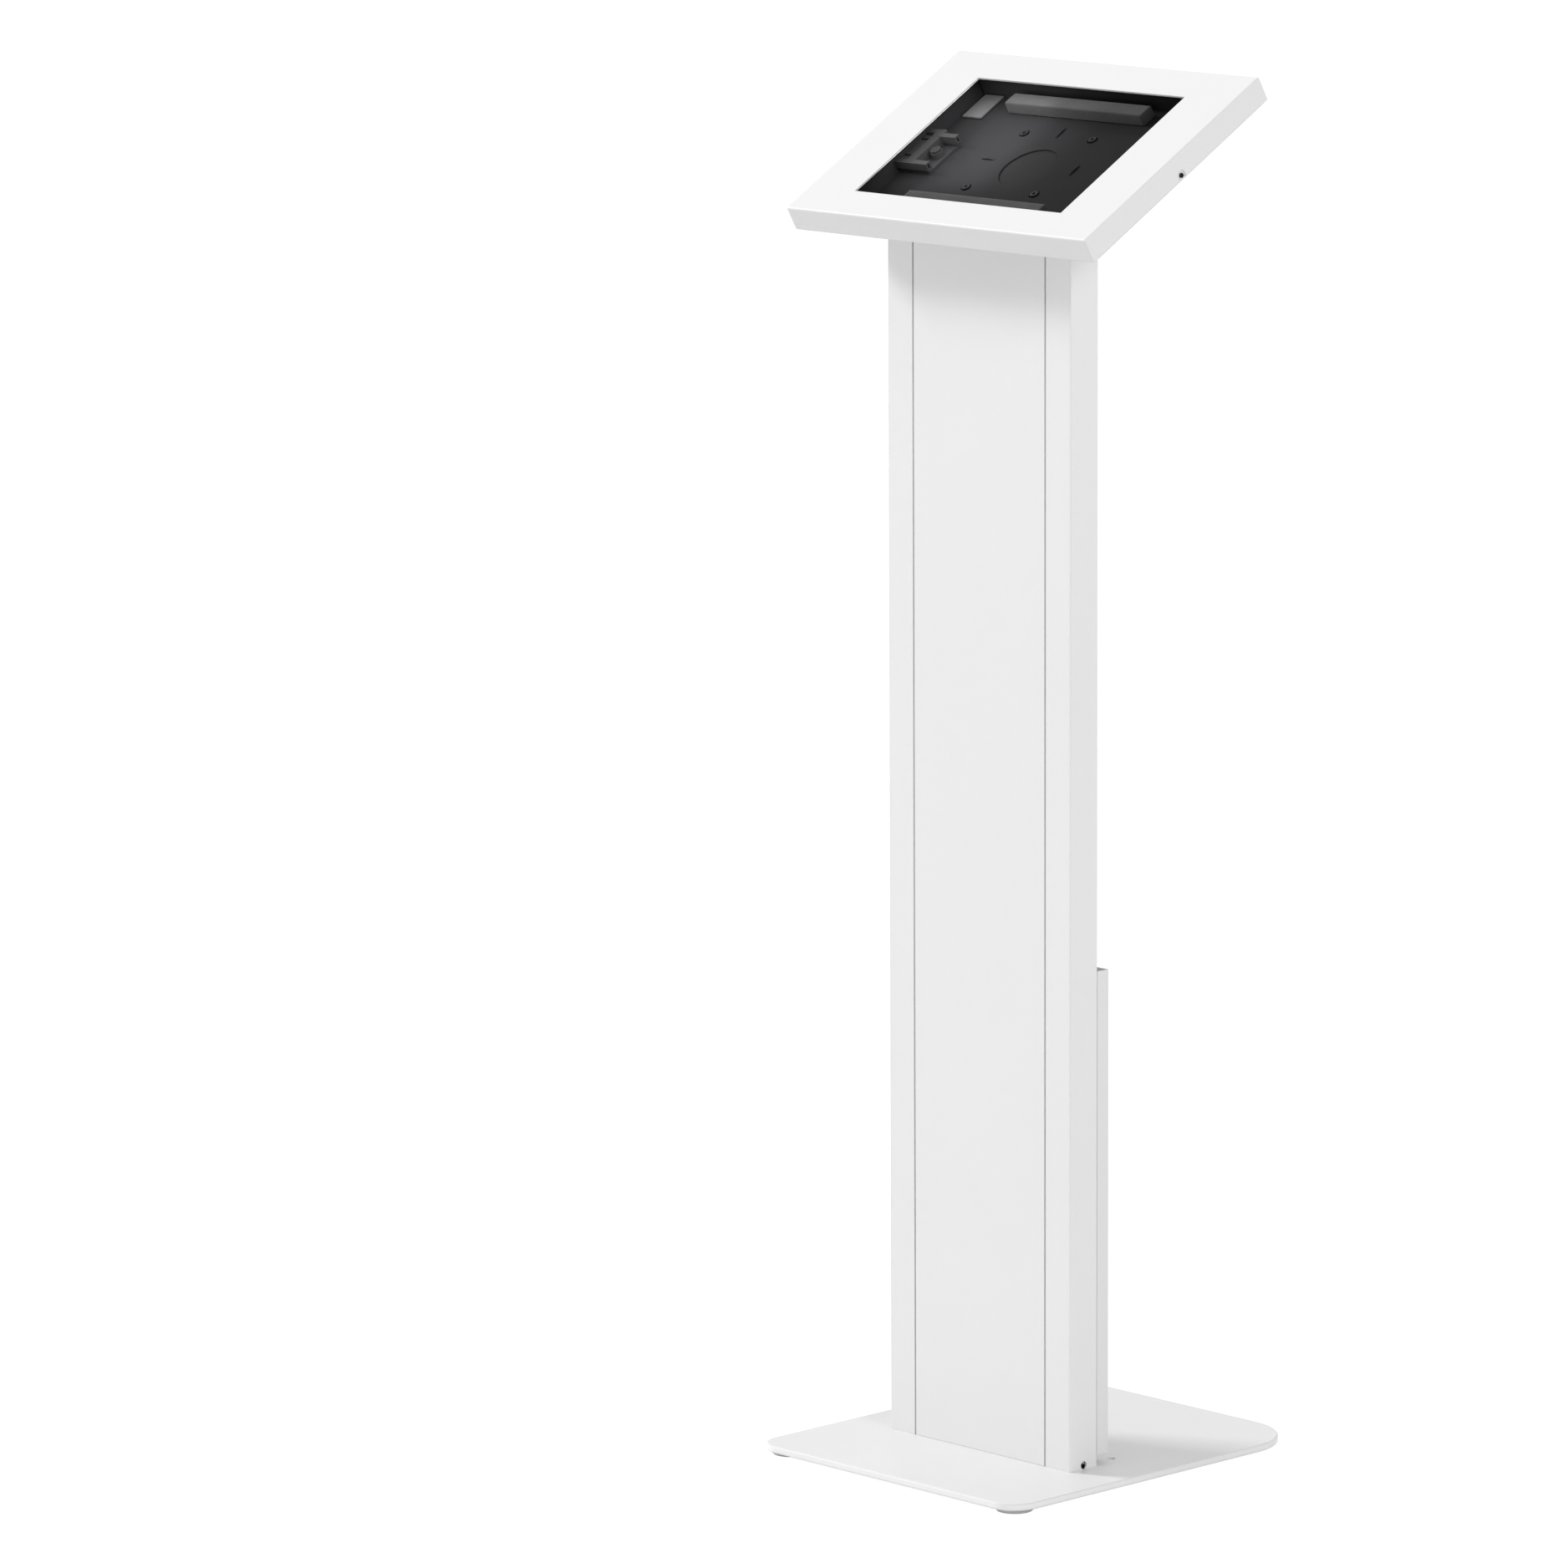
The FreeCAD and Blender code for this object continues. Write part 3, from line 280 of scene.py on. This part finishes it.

# %% [markdown]
# Foam rubber is all small open cells with thin walls. A Voronoi texture is such a field of cells.
# Its distance to the next wall makes the hollow middles, which are lower, and painted shade makes
# them the dark pores. A noise makes some of them deeper and darker than others.

# %% Cells of foam
DRIFT_SCALE = 120.0
WALL_TO_MIDDLE = (0.0, 0.12)


def foam_group():
    """Colour with painted shade in the pores, and a bump height."""
    group, start, end = new_group(
        "foam_cells",
        [("Colour", COLOUR, full(0.1)), ("Pore", COLOUR, full(0.02)), ("Cells", VALUE, 900.0)],
        [("Colour", COLOUR), ("Height", VALUE)])
    place = add(group, "ShaderNodeTexCoord").outputs["Object"]
    cells = add(group, "ShaderNodeTexVoronoi", feature="DISTANCE_TO_EDGE")
    drift = add(group, "ShaderNodeTexNoise", Scale=DRIFT_SCALE, Detail=5.0)
    for texture in (cells, drift):
        group.links.new(place, texture.inputs["Vector"])
    group.links.new(start.outputs["Cells"], cells.inputs["Scale"])
    hollow = remapped(group, cells.outputs["Distance"], 0.0, 1.0, *WALL_TO_MIDDLE)
    hollow = worked(group, "MULTIPLY", hollow, drift.outputs["Fac"])
    colour = blended(group, hollow, start.outputs["Colour"], start.outputs["Pore"])
    group.links.new(colour, end.inputs["Colour"])
    group.links.new(worked(group, "SUBTRACT", 1.0, hollow), end.inputs["Height"])
    return group


FOAM_CELLS = foam_group()
print("group", FOAM_CELLS.name)

# %% [markdown]
# A finish is one Principled shader. What is the same all over, such as metalness, is typed on the
# shader, and only what varies comes in through a link, because a plain value travels best to
# other programs. One small function makes every coated, plated or moulded finish of the stand.

# %% One finish with grain and edges
COAT_RELIEF = 0.0002
finishes = {}


def new_material(name, **values):
    """Material with one shader; the values are set on the shader's own sockets."""
    material = bpy.data.materials.new(name)
    material.use_nodes = True
    shader = material.node_tree.nodes["Principled BSDF"]
    for key, value in values.items():
        shader.inputs[key.replace("_", " ")].default_value = value
    return material, shader


def use_group(tree, group, **values):
    """Group node with its own values."""
    use = add(tree, "ShaderNodeGroup", node_tree=group)
    for key, value in values.items():
        use.inputs[key].default_value = value
    return use


def coated(name, colour, shade, worn_and_highlit, rough, grain, bump, radius=SHEET_RADIUS, **values):
    """Adds a finish with grain, rounded edges and a paler edge tone: wear, and on white coats a painted highlight.
    """
    material, shader = new_material(name, **values)
    tree = material.node_tree
    edge = use_group(tree, SHEET_EDGE, Radius=radius)
    skin = use_group(tree, POWDER_GRAIN, Colour=full(colour), Shade=full(shade), Worn=full(worn_and_highlit),
                     Rough=rough, Grain=grain)
    tree.links.new(edge.outputs["Edge"], skin.inputs["Edge"])
    tree.links.new(skin.outputs["Colour"], shader.inputs["Base Color"])
    tree.links.new(skin.outputs["Roughness"], shader.inputs["Roughness"])
    relief = add(tree, "ShaderNodeBump", Strength=bump, Distance=COAT_RELIEF)
    tree.links.new(skin.outputs["Height"], relief.inputs["Height"])
    tree.links.new(edge.outputs["Normal"], relief.inputs["Normal"])
    tree.links.new(relief.outputs["Normal"], shader.inputs["Normal"])
    finishes[name] = material


print("finish helper ready")

# %% [markdown]
# The column's sheets have a white satin coat: a pale grey of about 0.8, because pure white would
# leave no room for light and shade, and a half-rough skin. The front cover of the head and the
# lead cover take the same coat a shade less white, which is painted shade: it darkens the set-back
# lead cover and keeps the head's face from turning white. The base plate and the tray get their own
# coats in later steps.

# %% White coats of the column and the covers
SHEET_SKIN = {"rough": 0.46, "grain": 620.0, "bump": 0.22,
              "Coat_Weight": 0.08, "Coat_Roughness": 0.25}
# The paler edge tone of the white coats is a painted highlight.
coated("white_powder_coat",
       (0.830, 0.830, 0.832), (0.812, 0.812, 0.816), (0.880, 0.880, 0.880), **SHEET_SKIN)
# Painted shade: the covers' coat is the column's white made a shade darker.
coated("shaded_cover_coat",
       (0.790, 0.790, 0.792), (0.774, 0.774, 0.778), (0.850, 0.850, 0.850), **SHEET_SKIN)
print("white finishes", sorted(finishes))

# %% [markdown]
# The base plate lies flat, and its coat is smoother than the column's. It is also a little greyer,
# which is painted shade: the flat top takes more of the light than the column's upright sheets.
# The plate's narrow upright faces are painted whiter than its top, which is painted light on the
# rim. A mask of how far a face stands upright picks them out and lays the whiter tone over the
# coat, which keeps the plate one piece with one finish.

# %% Base coat with painted shade and a painted light rim
# Painted light: the whiter tone of the plate's upright faces.
PAINTED_RIM_LIGHT = 0.88
RIM_TO_TOP = (0.5, 0.9)


def painted_rim_light_group():
    """Lays painted light, a whiter colour, over another one on upright faces."""
    group, start, end = new_group(
        "plate_rim_painted_light", [("Colour", COLOUR, full(0.7)), ("Rim", COLOUR, full(0.9))],
        [("Colour", COLOUR)])
    apart = add(group, "ShaderNodeSeparateXYZ")
    group.links.new(add(group, "ShaderNodeTexCoord").outputs["Normal"], apart.inputs[0])
    level = worked(group, "ABSOLUTE", apart.outputs["Z"])
    upright = remapped(group, level, 1.0, 0.0, *RIM_TO_TOP)
    colour = blended(group, upright, start.outputs["Colour"], start.outputs["Rim"])
    group.links.new(colour, end.inputs["Colour"])
    return group


def laid_over(name, group, **values):
    """Puts a colour group between a finish's grain and its shader."""
    tree = finishes[name].node_tree
    base = tree.nodes["Principled BSDF"].inputs["Base Color"]
    grain_colour = base.links[0].from_socket
    over = use_group(tree, group, **values)
    tree.links.new(grain_colour, over.inputs["Colour"])
    tree.links.new(over.outputs["Colour"], base)


# Painted shade: the plate's white is greyer than the column's.
coated("base_coat_shaded_top_lit_rim", (0.730, 0.730, 0.733), (0.712, 0.712, 0.717), (0.800, 0.800, 0.800),
       rough=0.40, grain=560.0, bump=0.08, radius=0.0016, Specular_IOR_Level=0.40)
laid_over("base_coat_shaded_top_lit_rim", painted_rim_light_group(), Rim=full(PAINTED_RIM_LIGHT))
print("rim tone", PAINTED_RIM_LIGHT)

# %% [markdown]
# The cradle is coated black with a low sheen. Black is never zero: two percent still shows the
# folds. The reflections are kept weak, because at this low view a full gloss would turn the floor
# grey.

# %% Black coat of the cradle
coated("black_powder_coat",
       (0.0225, 0.0225, 0.0235), (0.018, 0.018, 0.019), (0.044, 0.044, 0.045),
       rough=0.30, grain=900.0, bump=0.14, Specular_IOR_Level=0.010)
print("black finish", finishes["black_powder_coat"].name)

# %% [markdown]
# The tray behind the cradle is white outside, but what shows through the cradle's openings is
# black: its floor is lined inside with a black film. A sheet of its own would have to be as thin
# as a hair, so the film is a second tone in the tray's finish, held by a mask. The mask asks two
# things of a point: how far out of the head it lies, and whether its face looks out of the head.

# %% Black film on the tray's floor
FILM_RISE = 0.0006
FILM_TONE = 0.0205
FACING_OUT = (0.85, 0.95)


def film_mask(tree, level):
    """Mask that is 1 on faces that look out of the head and lie no higher than a level."""
    place = add(tree, "ShaderNodeTexCoord")
    answers = []
    for label, span in (("Object", (level + FILM_RISE, level)), ("Normal", FACING_OUT)):
        along = add(tree, "ShaderNodeVectorMath", operation="DOT_PRODUCT")
        along.inputs[1].default_value = HEAD_OUT
        tree.links.new(place.outputs[label], along.inputs[0])
        answers.append(remapped(tree, along.outputs["Value"], 0.0, 1.0, *span))
    return worked(tree, "MULTIPLY", *answers)


def film_group(level):
    """Lays the film's colour over another one."""
    group, start, end = new_group(
        "tray_film", [("Colour", COLOUR, full(0.8)), ("Film", COLOUR, full(0.02))],
        [("Colour", COLOUR)])
    mask = film_mask(group, level)
    colour = blended(group, mask, start.outputs["Colour"], start.outputs["Film"])
    group.links.new(colour, end.inputs["Colour"])
    return group


coated("tray_coat", (0.800, 0.800, 0.805), (0.780, 0.780, 0.788), (0.860, 0.860, 0.860),
       rough=0.34, grain=620.0, bump=0.22, Specular_IOR_Level=0.010)
laid_over("tray_coat", film_group(cradle_low.z), Film=full(FILM_TONE))
print("film up to", round(cradle_low.z, 4), "along the way out of the head")

# %% [markdown]
# Bolts, studs and the foot bar are zinc-plated steel, a real metal whose colour is its
# reflection. The security screws are blackened steel: the oxide hides most of the metal, so
# little of it is metallic. On the screw of the plug bracket the black has worn off to a dull
# grey.

# %% Zinc and black steel
coated("zinc_steel", (0.60, 0.61, 0.62), (0.48, 0.49, 0.50), (0.72, 0.73, 0.74),
       rough=0.30, grain=1500.0, bump=0.10, radius=0.0003, Metallic=1.0)
coated("black_steel", (0.014, 0.014, 0.015), (0.008, 0.008, 0.009), (0.040, 0.040, 0.042),
       rough=0.36, grain=1500.0, bump=0.12, radius=0.0003, Metallic=0.2, Specular_IOR_Level=0.12)
coated("dull_steel", (0.032, 0.032, 0.033), (0.022, 0.022, 0.023), (0.060, 0.060, 0.061),
       rough=0.45, grain=1500.0, bump=0.12, radius=0.0003, Metallic=0.2, Specular_IOR_Level=0.15)
print("metals", [name for name in finishes if name.endswith("steel")])

# %% [markdown]
# The lead's rings are rubber and the plug bracket is black nylon, which scuffs to grey on its
# corners. The feet and the sockets of the front panel are undyed nylon: a warm white that lets
# light in a little, so they get a touch of subsurface.

# %% Rubber and nylon
coated("black_rubber", (0.030, 0.030, 0.030), (0.020, 0.020, 0.020), (0.060, 0.060, 0.060),
       rough=0.72, grain=1100.0, bump=0.35, radius=0.0004)
coated("black_nylon", (0.034, 0.034, 0.035), (0.027, 0.027, 0.028), (0.044, 0.044, 0.045),
       rough=0.50, grain=1300.0, bump=0.20, radius=0.0005, Specular_IOR_Level=0.12)
coated("natural_nylon", (0.70, 0.69, 0.66), (0.64, 0.63, 0.60), (0.76, 0.75, 0.72),
       rough=0.45, grain=1300.0, bump=0.12, radius=0.0004, Subsurface_Weight=0.1)
print("plastics", len(finishes), "finishes so far")

# %% [markdown]
# Foam is matt, with a soft sheen from the torn cell walls. The strips are dark grey and coarse.
# The corner pads are a thinner, paler and finer foam.

# %% Foam finishes
FOAM_RELIEF = 0.0004


def foamed(name, colour, pore_shade, cells):
    """Adds a foam with open cells to the finishes."""
    material, shader = new_material(name, Roughness=0.95, Sheen_Weight=0.10, Sheen_Roughness=0.6)
    tree = material.node_tree
    skin = use_group(tree, FOAM_CELLS, Colour=full(colour), Pore=full(pore_shade), Cells=cells)
    tree.links.new(skin.outputs["Colour"], shader.inputs["Base Color"])
    relief = add(tree, "ShaderNodeBump", Strength=0.6, Distance=FOAM_RELIEF)
    tree.links.new(skin.outputs["Height"], relief.inputs["Height"])
    tree.links.new(relief.outputs["Normal"], shader.inputs["Normal"])
    finishes[name] = material


# The second tone of each foam is painted shade in its pores.
foamed("foam", 0.027, 0.011, 1100.0)
foamed("pad_foam", 0.074, 0.046, 1400.0)
print("finishes", len(finishes))

# %% [markdown]
# The imported record names a material slot for each node. So the finishes go on by that name, and
# only a few pieces take a kind of their own: the base plate a white with painted shade on its top
# and painted light on its rim, the two covers a white with painted shade, the tray its own white,
# and the screw in the plug bracket its dull grey.

# %% Finishes on the pieces
# The base plate and the covers take finishes with painted shade; the base plate's also has painted light on its
# rim.
OWN_FINISH = {"base_plate": "base_coat_shaded_top_lit_rim", "rear_tray": "tray_coat", "front_cover": "shaded_cover_coat",
              "rear_cover": "shaded_cover_coat", "plug_bracket_screw": "dull_steel"}
for part in frame["record"]["subparts"]:
    mesh = nodes[part["node"]].data
    mesh.materials.clear()
    mesh.materials.append(finishes[OWN_FINISH.get(part["node"], part["material_slot"])])

# %% [markdown]
# A piece that is shaped flat along the head's axes has to be turned into its place. The turn goes
# into the mesh, so that the object itself stays at the origin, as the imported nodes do.

# %% From a flat shape to a piece in the head
def head_piece(name, mesh, middle):
    """Object from an open mesh, turned into the head with its middle at a point."""
    data = bpy.data.meshes.new(name)
    mesh.to_mesh(data)
    mesh.free()
    data.transform(HEAD_TURN.to_4x4() @ Matrix.Translation(middle))
    return placed(name, data)


print("turn ready")

# %% [markdown]
# The foam strips are cut from sheet: flat faces with softened edges, and a top that sinks a
# little towards its rim. A plain block would look like wood. So each is a block with rounded
# edges, cut into short lengths, whose points are then moved by small amounts.

# %% One block of foam
FOAM_STEP = 0.0030
FOAM_RIPPLE = 0.00018
RIPPLE_SCALE = 160.0
CROWN_POWER_U = 0.2
CROWN_POWER_V = 0.4


def rounded_block(size, edge):
    """Block with rounded edges, cut into short lengths, with room for the ripple around it."""
    mesh = bmesh.new()
    bmesh.ops.create_cube(mesh, size=1.0)
    bmesh.ops.scale(mesh, vec=size - Vector((2, 2, 1)) * FOAM_RIPPLE, verts=mesh.verts)
    bmesh.ops.bevel(mesh, geom=mesh.edges[:], offset=edge, segments=3, profile=0.6, affect="EDGES")
    for axis in (0, 1):
        cuts = int(size[axis] / FOAM_STEP)
        normal = Vector((axis == 0, axis == 1, 0))
        for i in range(1, cuts):
            at = -size[axis] / 2 + edge + (size[axis] - 2 * edge) * i / cuts
            bmesh.ops.bisect_plane(mesh, geom=mesh.verts[:] + mesh.edges[:] + mesh.faces[:],
                                   plane_co=normal * at, plane_no=normal)
    return mesh


def sink_and_ripple(mesh, size, crown):
    """Lets the top sink towards its rim and puts a fine ripple in the cut faces."""
    for vertex in mesh.verts:
        ripple = noise.noise(vertex.co * RIPPLE_SCALE) * FOAM_RIPPLE / 2
        if vertex.co.z > 0:
            share_u = max(1 - (2 * vertex.co.x / size.x) ** 2, 0)
            share_v = max(1 - (2 * vertex.co.y / size.y) ** 2, 0)
            level = share_u ** CROWN_POWER_U * share_v ** CROWN_POWER_V
            vertex.co.z -= crown * (1 - level) + abs(ripple)
        vertex.co.y += ripple


def foam_piece(name, low, high, edge, crown):
    """Soft block between two corners in the head's axes, turned into its place."""
    mesh = rounded_block(high - low, edge)
    sink_and_ripple(mesh, high - low, crown)
    for face in mesh.faces:
        face.smooth = True
    return head_piece(name, mesh, (high + low) / 2)


def settle(piece, node, slot):
    """Finish, body and slot of a foam piece that stands for a node."""
    piece.data.materials.append(finishes[slot])
    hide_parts(node)
    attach(piece, "stand")


print("foam helpers ready")

# %% [markdown]
# Two strips press on the tablet's back from the rear and the front of the cradle.

# %% Foam strips
STRIP_EDGE = 0.0012
STRIP_CROWN = 0.0005
for node in ("foam_strip_rear", "foam_strip_front"):
    low, high = ends(flat_points(node))
    strip = foam_piece(node + "_soft", low, high, STRIP_EDGE, STRIP_CROWN)
    settle(strip, node, "foam")
    print(strip.name, [round(x, 4) for x in high - low])

# %% [markdown]
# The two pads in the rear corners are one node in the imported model. Each side's points give one
# pad.

# %% Corner pads
PAD_EDGE = 0.0006
PAD_CROWN = 0.00025
for side, word in ((-1, "left"), (1, "right")):
    low, high = ends([p for p in flat_points("corner_pads") if p.x * side > 0])
    pad = foam_piece("corner_pad_" + word, low, high, PAD_EDGE, PAD_CROWN)
    settle(pad, "corner_pads", "pad_foam")
    print(pad.name, [round(x, 4) for x in high - low])

# %% [markdown]
# Three narrow straps are pressed up from the cradle's floor, and a tie for the lead is threaded
# under each. A strap is a strip of the same sheet on an arch. It could be a bent plane with
# thickness, but as a row of sections along a curve it is one short loop and has real ends.

# %% Section of a tie strap
STRAP_LENGTH = 0.0154
STRAP_WIDTH = 0.0024
STRAP_SHEET = 0.0008
STRAP_RISE = 0.0012
STRAP_ARCH = 0.7


def strap_section(along, up_slope):
    """Four corners of the strap at a share of its length, from -1 to 1."""
    rise = STRAP_RISE * math.cos(along * math.pi / 2) ** STRAP_ARCH
    corners = []
    for side, lift in ((-1, 0), (1, 0), (1, 1), (-1, 1)):
        long = along * STRAP_LENGTH / 2
        wide = side * STRAP_WIDTH / 2
        height = rise + (lift - 1) * STRAP_SHEET
        corners.append((wide, long, height) if up_slope else (long, wide, height))
    return corners


print("strap ends", [round(x, 4) for x in strap_section(1, True)[0]])

# %% [markdown]
# Each strap has its middle on the cradle's floor, at a distance across and up the slope from the
# middle of the head. Two of them run up the slope and the left one runs across.

# %% Tie straps on the cradle's floor
STRAP_STEPS = 24
CRADLE_SHEET = 0.001
STRAP_PLACES = {"top": (-0.002, 0.042, True), "right": (0.051, -0.003, True),
                "left": (-0.046, 0.001, False)}

cover_low, cover_high = ends(flat_points("front_cover"))
floor_middle = Vector(((cover_low.x + cover_high.x) / 2, (cover_low.y + cover_high.y) / 2,
                       cradle_low.z + CRADLE_SHEET))


def tie_strap(word, u, v, up_slope):
    """Arched strap over its slot, with closed ends, turned into the head."""
    mesh = bmesh.new()
    rings = []
    for i in range(STRAP_STEPS + 1):
        section = strap_section(2 * i / STRAP_STEPS - 1, up_slope)
        rings.append([mesh.verts.new(p) for p in section])
    for one, two in zip(rings, rings[1:]):
        for i in range(4):
            mesh.faces.new((one[i], one[(i + 1) % 4], two[(i + 1) % 4], two[i]))
    mesh.faces.new(rings[0])
    mesh.faces.new(rings[-1])
    bmesh.ops.recalc_face_normals(mesh, faces=mesh.faces)
    strap = head_piece("tie_strap_" + word, mesh, floor_middle + Vector((u, v, 0)))
    strap.data.materials.append(finishes["black_powder_coat"])
    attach(strap, "stand")
    return strap


for word, (u, v, up_slope) in STRAP_PLACES.items():
    print(tie_strap(word, u, v, up_slope).name)

# %% [markdown]
# The studio is a white sweep. Its even light comes from the world, at a level where, with the
# lamps, a grey of 0.8 renders about as 0.8. The camera and all reflections see plain white
# instead, which a light path node picks out, so the background stays clean without more light on
# the stand.

# %% White surround
WORLD_STRENGTH = 0.59


def seen_directly(tree):
    """Value that is 1 for what the camera, a reflection or a clear piece sees."""
    path = add(tree, "ShaderNodeLightPath")
    seen = worked(tree, "MAXIMUM", path.outputs["Is Camera Ray"], path.outputs["Is Glossy Ray"])
    return worked(tree, "MAXIMUM", seen, path.outputs["Is Transmission Ray"])


world = bpy.data.worlds.new("studio")
world.use_nodes = True
sweep = world.node_tree
ground = sweep.nodes["Background"]
ground.inputs["Color"].default_value = full(1.0)
strength = remapped(sweep, seen_directly(sweep), WORLD_STRENGTH, 1.0)
sweep.links.new(strength, ground.inputs["Strength"])
bpy.context.scene.world = world
print("world light", WORLD_STRENGTH)

# %% [markdown]
# A white floor that is lit strongly enough to vanish would also light the stand from below. So
# most of what the camera sees of it is a plain white emission, and an eighth is the lit floor
# itself, which keeps the soft shadow under the base plate and the feet.

# %% Floor
FLOOR_HALF = 15.0
FLOOR_GREY = 0.81
FLOOR_WHITE = 1.12
FLOOR_SHARE = 0.87

floor_data = bpy.data.meshes.new("floor")
floor_data.from_pydata([(-FLOOR_HALF, -FLOOR_HALF, 0), (FLOOR_HALF, -FLOOR_HALF, 0),
                        (FLOOR_HALF, FLOOR_HALF, 0), (-FLOOR_HALF, FLOOR_HALF, 0)],
                       [], [(0, 1, 2, 3)])
floor = placed("floor", floor_data)
floor_material, floor_shader = new_material("floor", Roughness=0.9, Specular_IOR_Level=0.1)
floor_shader.inputs["Base Color"].default_value = full(FLOOR_GREY)
floor_tree = floor_material.node_tree
white = add(floor_tree, "ShaderNodeEmission", Strength=FLOOR_WHITE)
mixed = add(floor_tree, "ShaderNodeMixShader")
share = worked(floor_tree, "MULTIPLY", seen_directly(floor_tree), FLOOR_SHARE)
floor_tree.links.new(share, mixed.inputs[0])
floor_tree.links.new(floor_shader.outputs["BSDF"], mixed.inputs[1])
floor_tree.links.new(white.outputs["Emission"], mixed.inputs[2])
floor_tree.links.new(mixed.outputs["Shader"], floor_tree.nodes["Material Output"].inputs["Surface"])
floor_data.materials.append(floor_material)
print("floor", FLOOR_HALF * 2, "m wide")

# %% [markdown]
# Soft lamps shape the stand. The key stands far to the left, about thirty degrees up, so the
# column throws its shadow over the base to the right. A weak fill lifts the side that faces away
# from it.

# %% Lamps around the stand
KEY_PLACE = Vector((-6.24, -2.81, 4.72))
KEY_SIZE = 1.6
KEY_POWER = 436.0
FILL_PLACE = Vector((3.24, -0.57, 2.50))
FILL_SIZE = 1.5
FILL_POWER = 39.0
COLUMN_MIDDLE = Vector((0.0, 0.0, 0.6))


def soft_lamp(name, place, turn, size, power):
    """Flat soft lamp with a place and a turn, seen only by its light."""
    data = bpy.data.lights.new(name, "AREA")
    data.shape = "RECTANGLE"
    data.size, data.size_y = size
    data.energy = power
    lamp = placed(name, data)
    lamp.matrix_world = Matrix.Translation(place) @ turn.to_4x4()
    lamp.visible_camera = False
    return lamp


def aimed(place, aim):
    """Turn of a lamp at a place that shines at a point."""
    return (aim - place).to_track_quat("-Z", "Y").to_matrix()


soft_lamp("key", KEY_PLACE, aimed(KEY_PLACE, COLUMN_MIDDLE), (KEY_SIZE, KEY_SIZE), KEY_POWER)
soft_lamp("fill", FILL_PLACE, aimed(FILL_PLACE, COLUMN_MIDDLE), (FILL_SIZE, FILL_SIZE), FILL_POWER)
print("key", round(KEY_PLACE.length, 1), "m away, fill", round(FILL_PLACE.length, 1), "m away")

# %% [markdown]
# The black cradle would be a dark hole under these two. So three thin panes of light lie side by
# side in the window's opening and shine inwards only. Each has its place across and up the slope
# from the middle of the window, its length and its power. The two on the left are strong and the
# third is weak, so the cradle's floor darkens to the right.

# %% Panes of light in the window
PANE_WIDTH = 0.045
PANE_DEPTH = 0.0008
PANES = ((-0.0905, 0.010, 0.118, 0.046), (-0.0455, 0.015, 0.108, 0.051),
         (-0.0005, 0.017, 0.106, 0.012))
window_middle = floor_middle.copy()
window_middle.z = cover_high.z - PANE_DEPTH
for u, v, length, power in PANES:
    place = HEAD_TURN @ (window_middle + Vector((u, v, 0)))
    pane = soft_lamp("pane", place, HEAD_TURN, (PANE_WIDTH, length), power)
    pane.visible_glossy = False
bpy.context.scene.view_settings.view_transform = "Standard"

# %% [markdown]
# before the scene is closed.


print("sizes written")
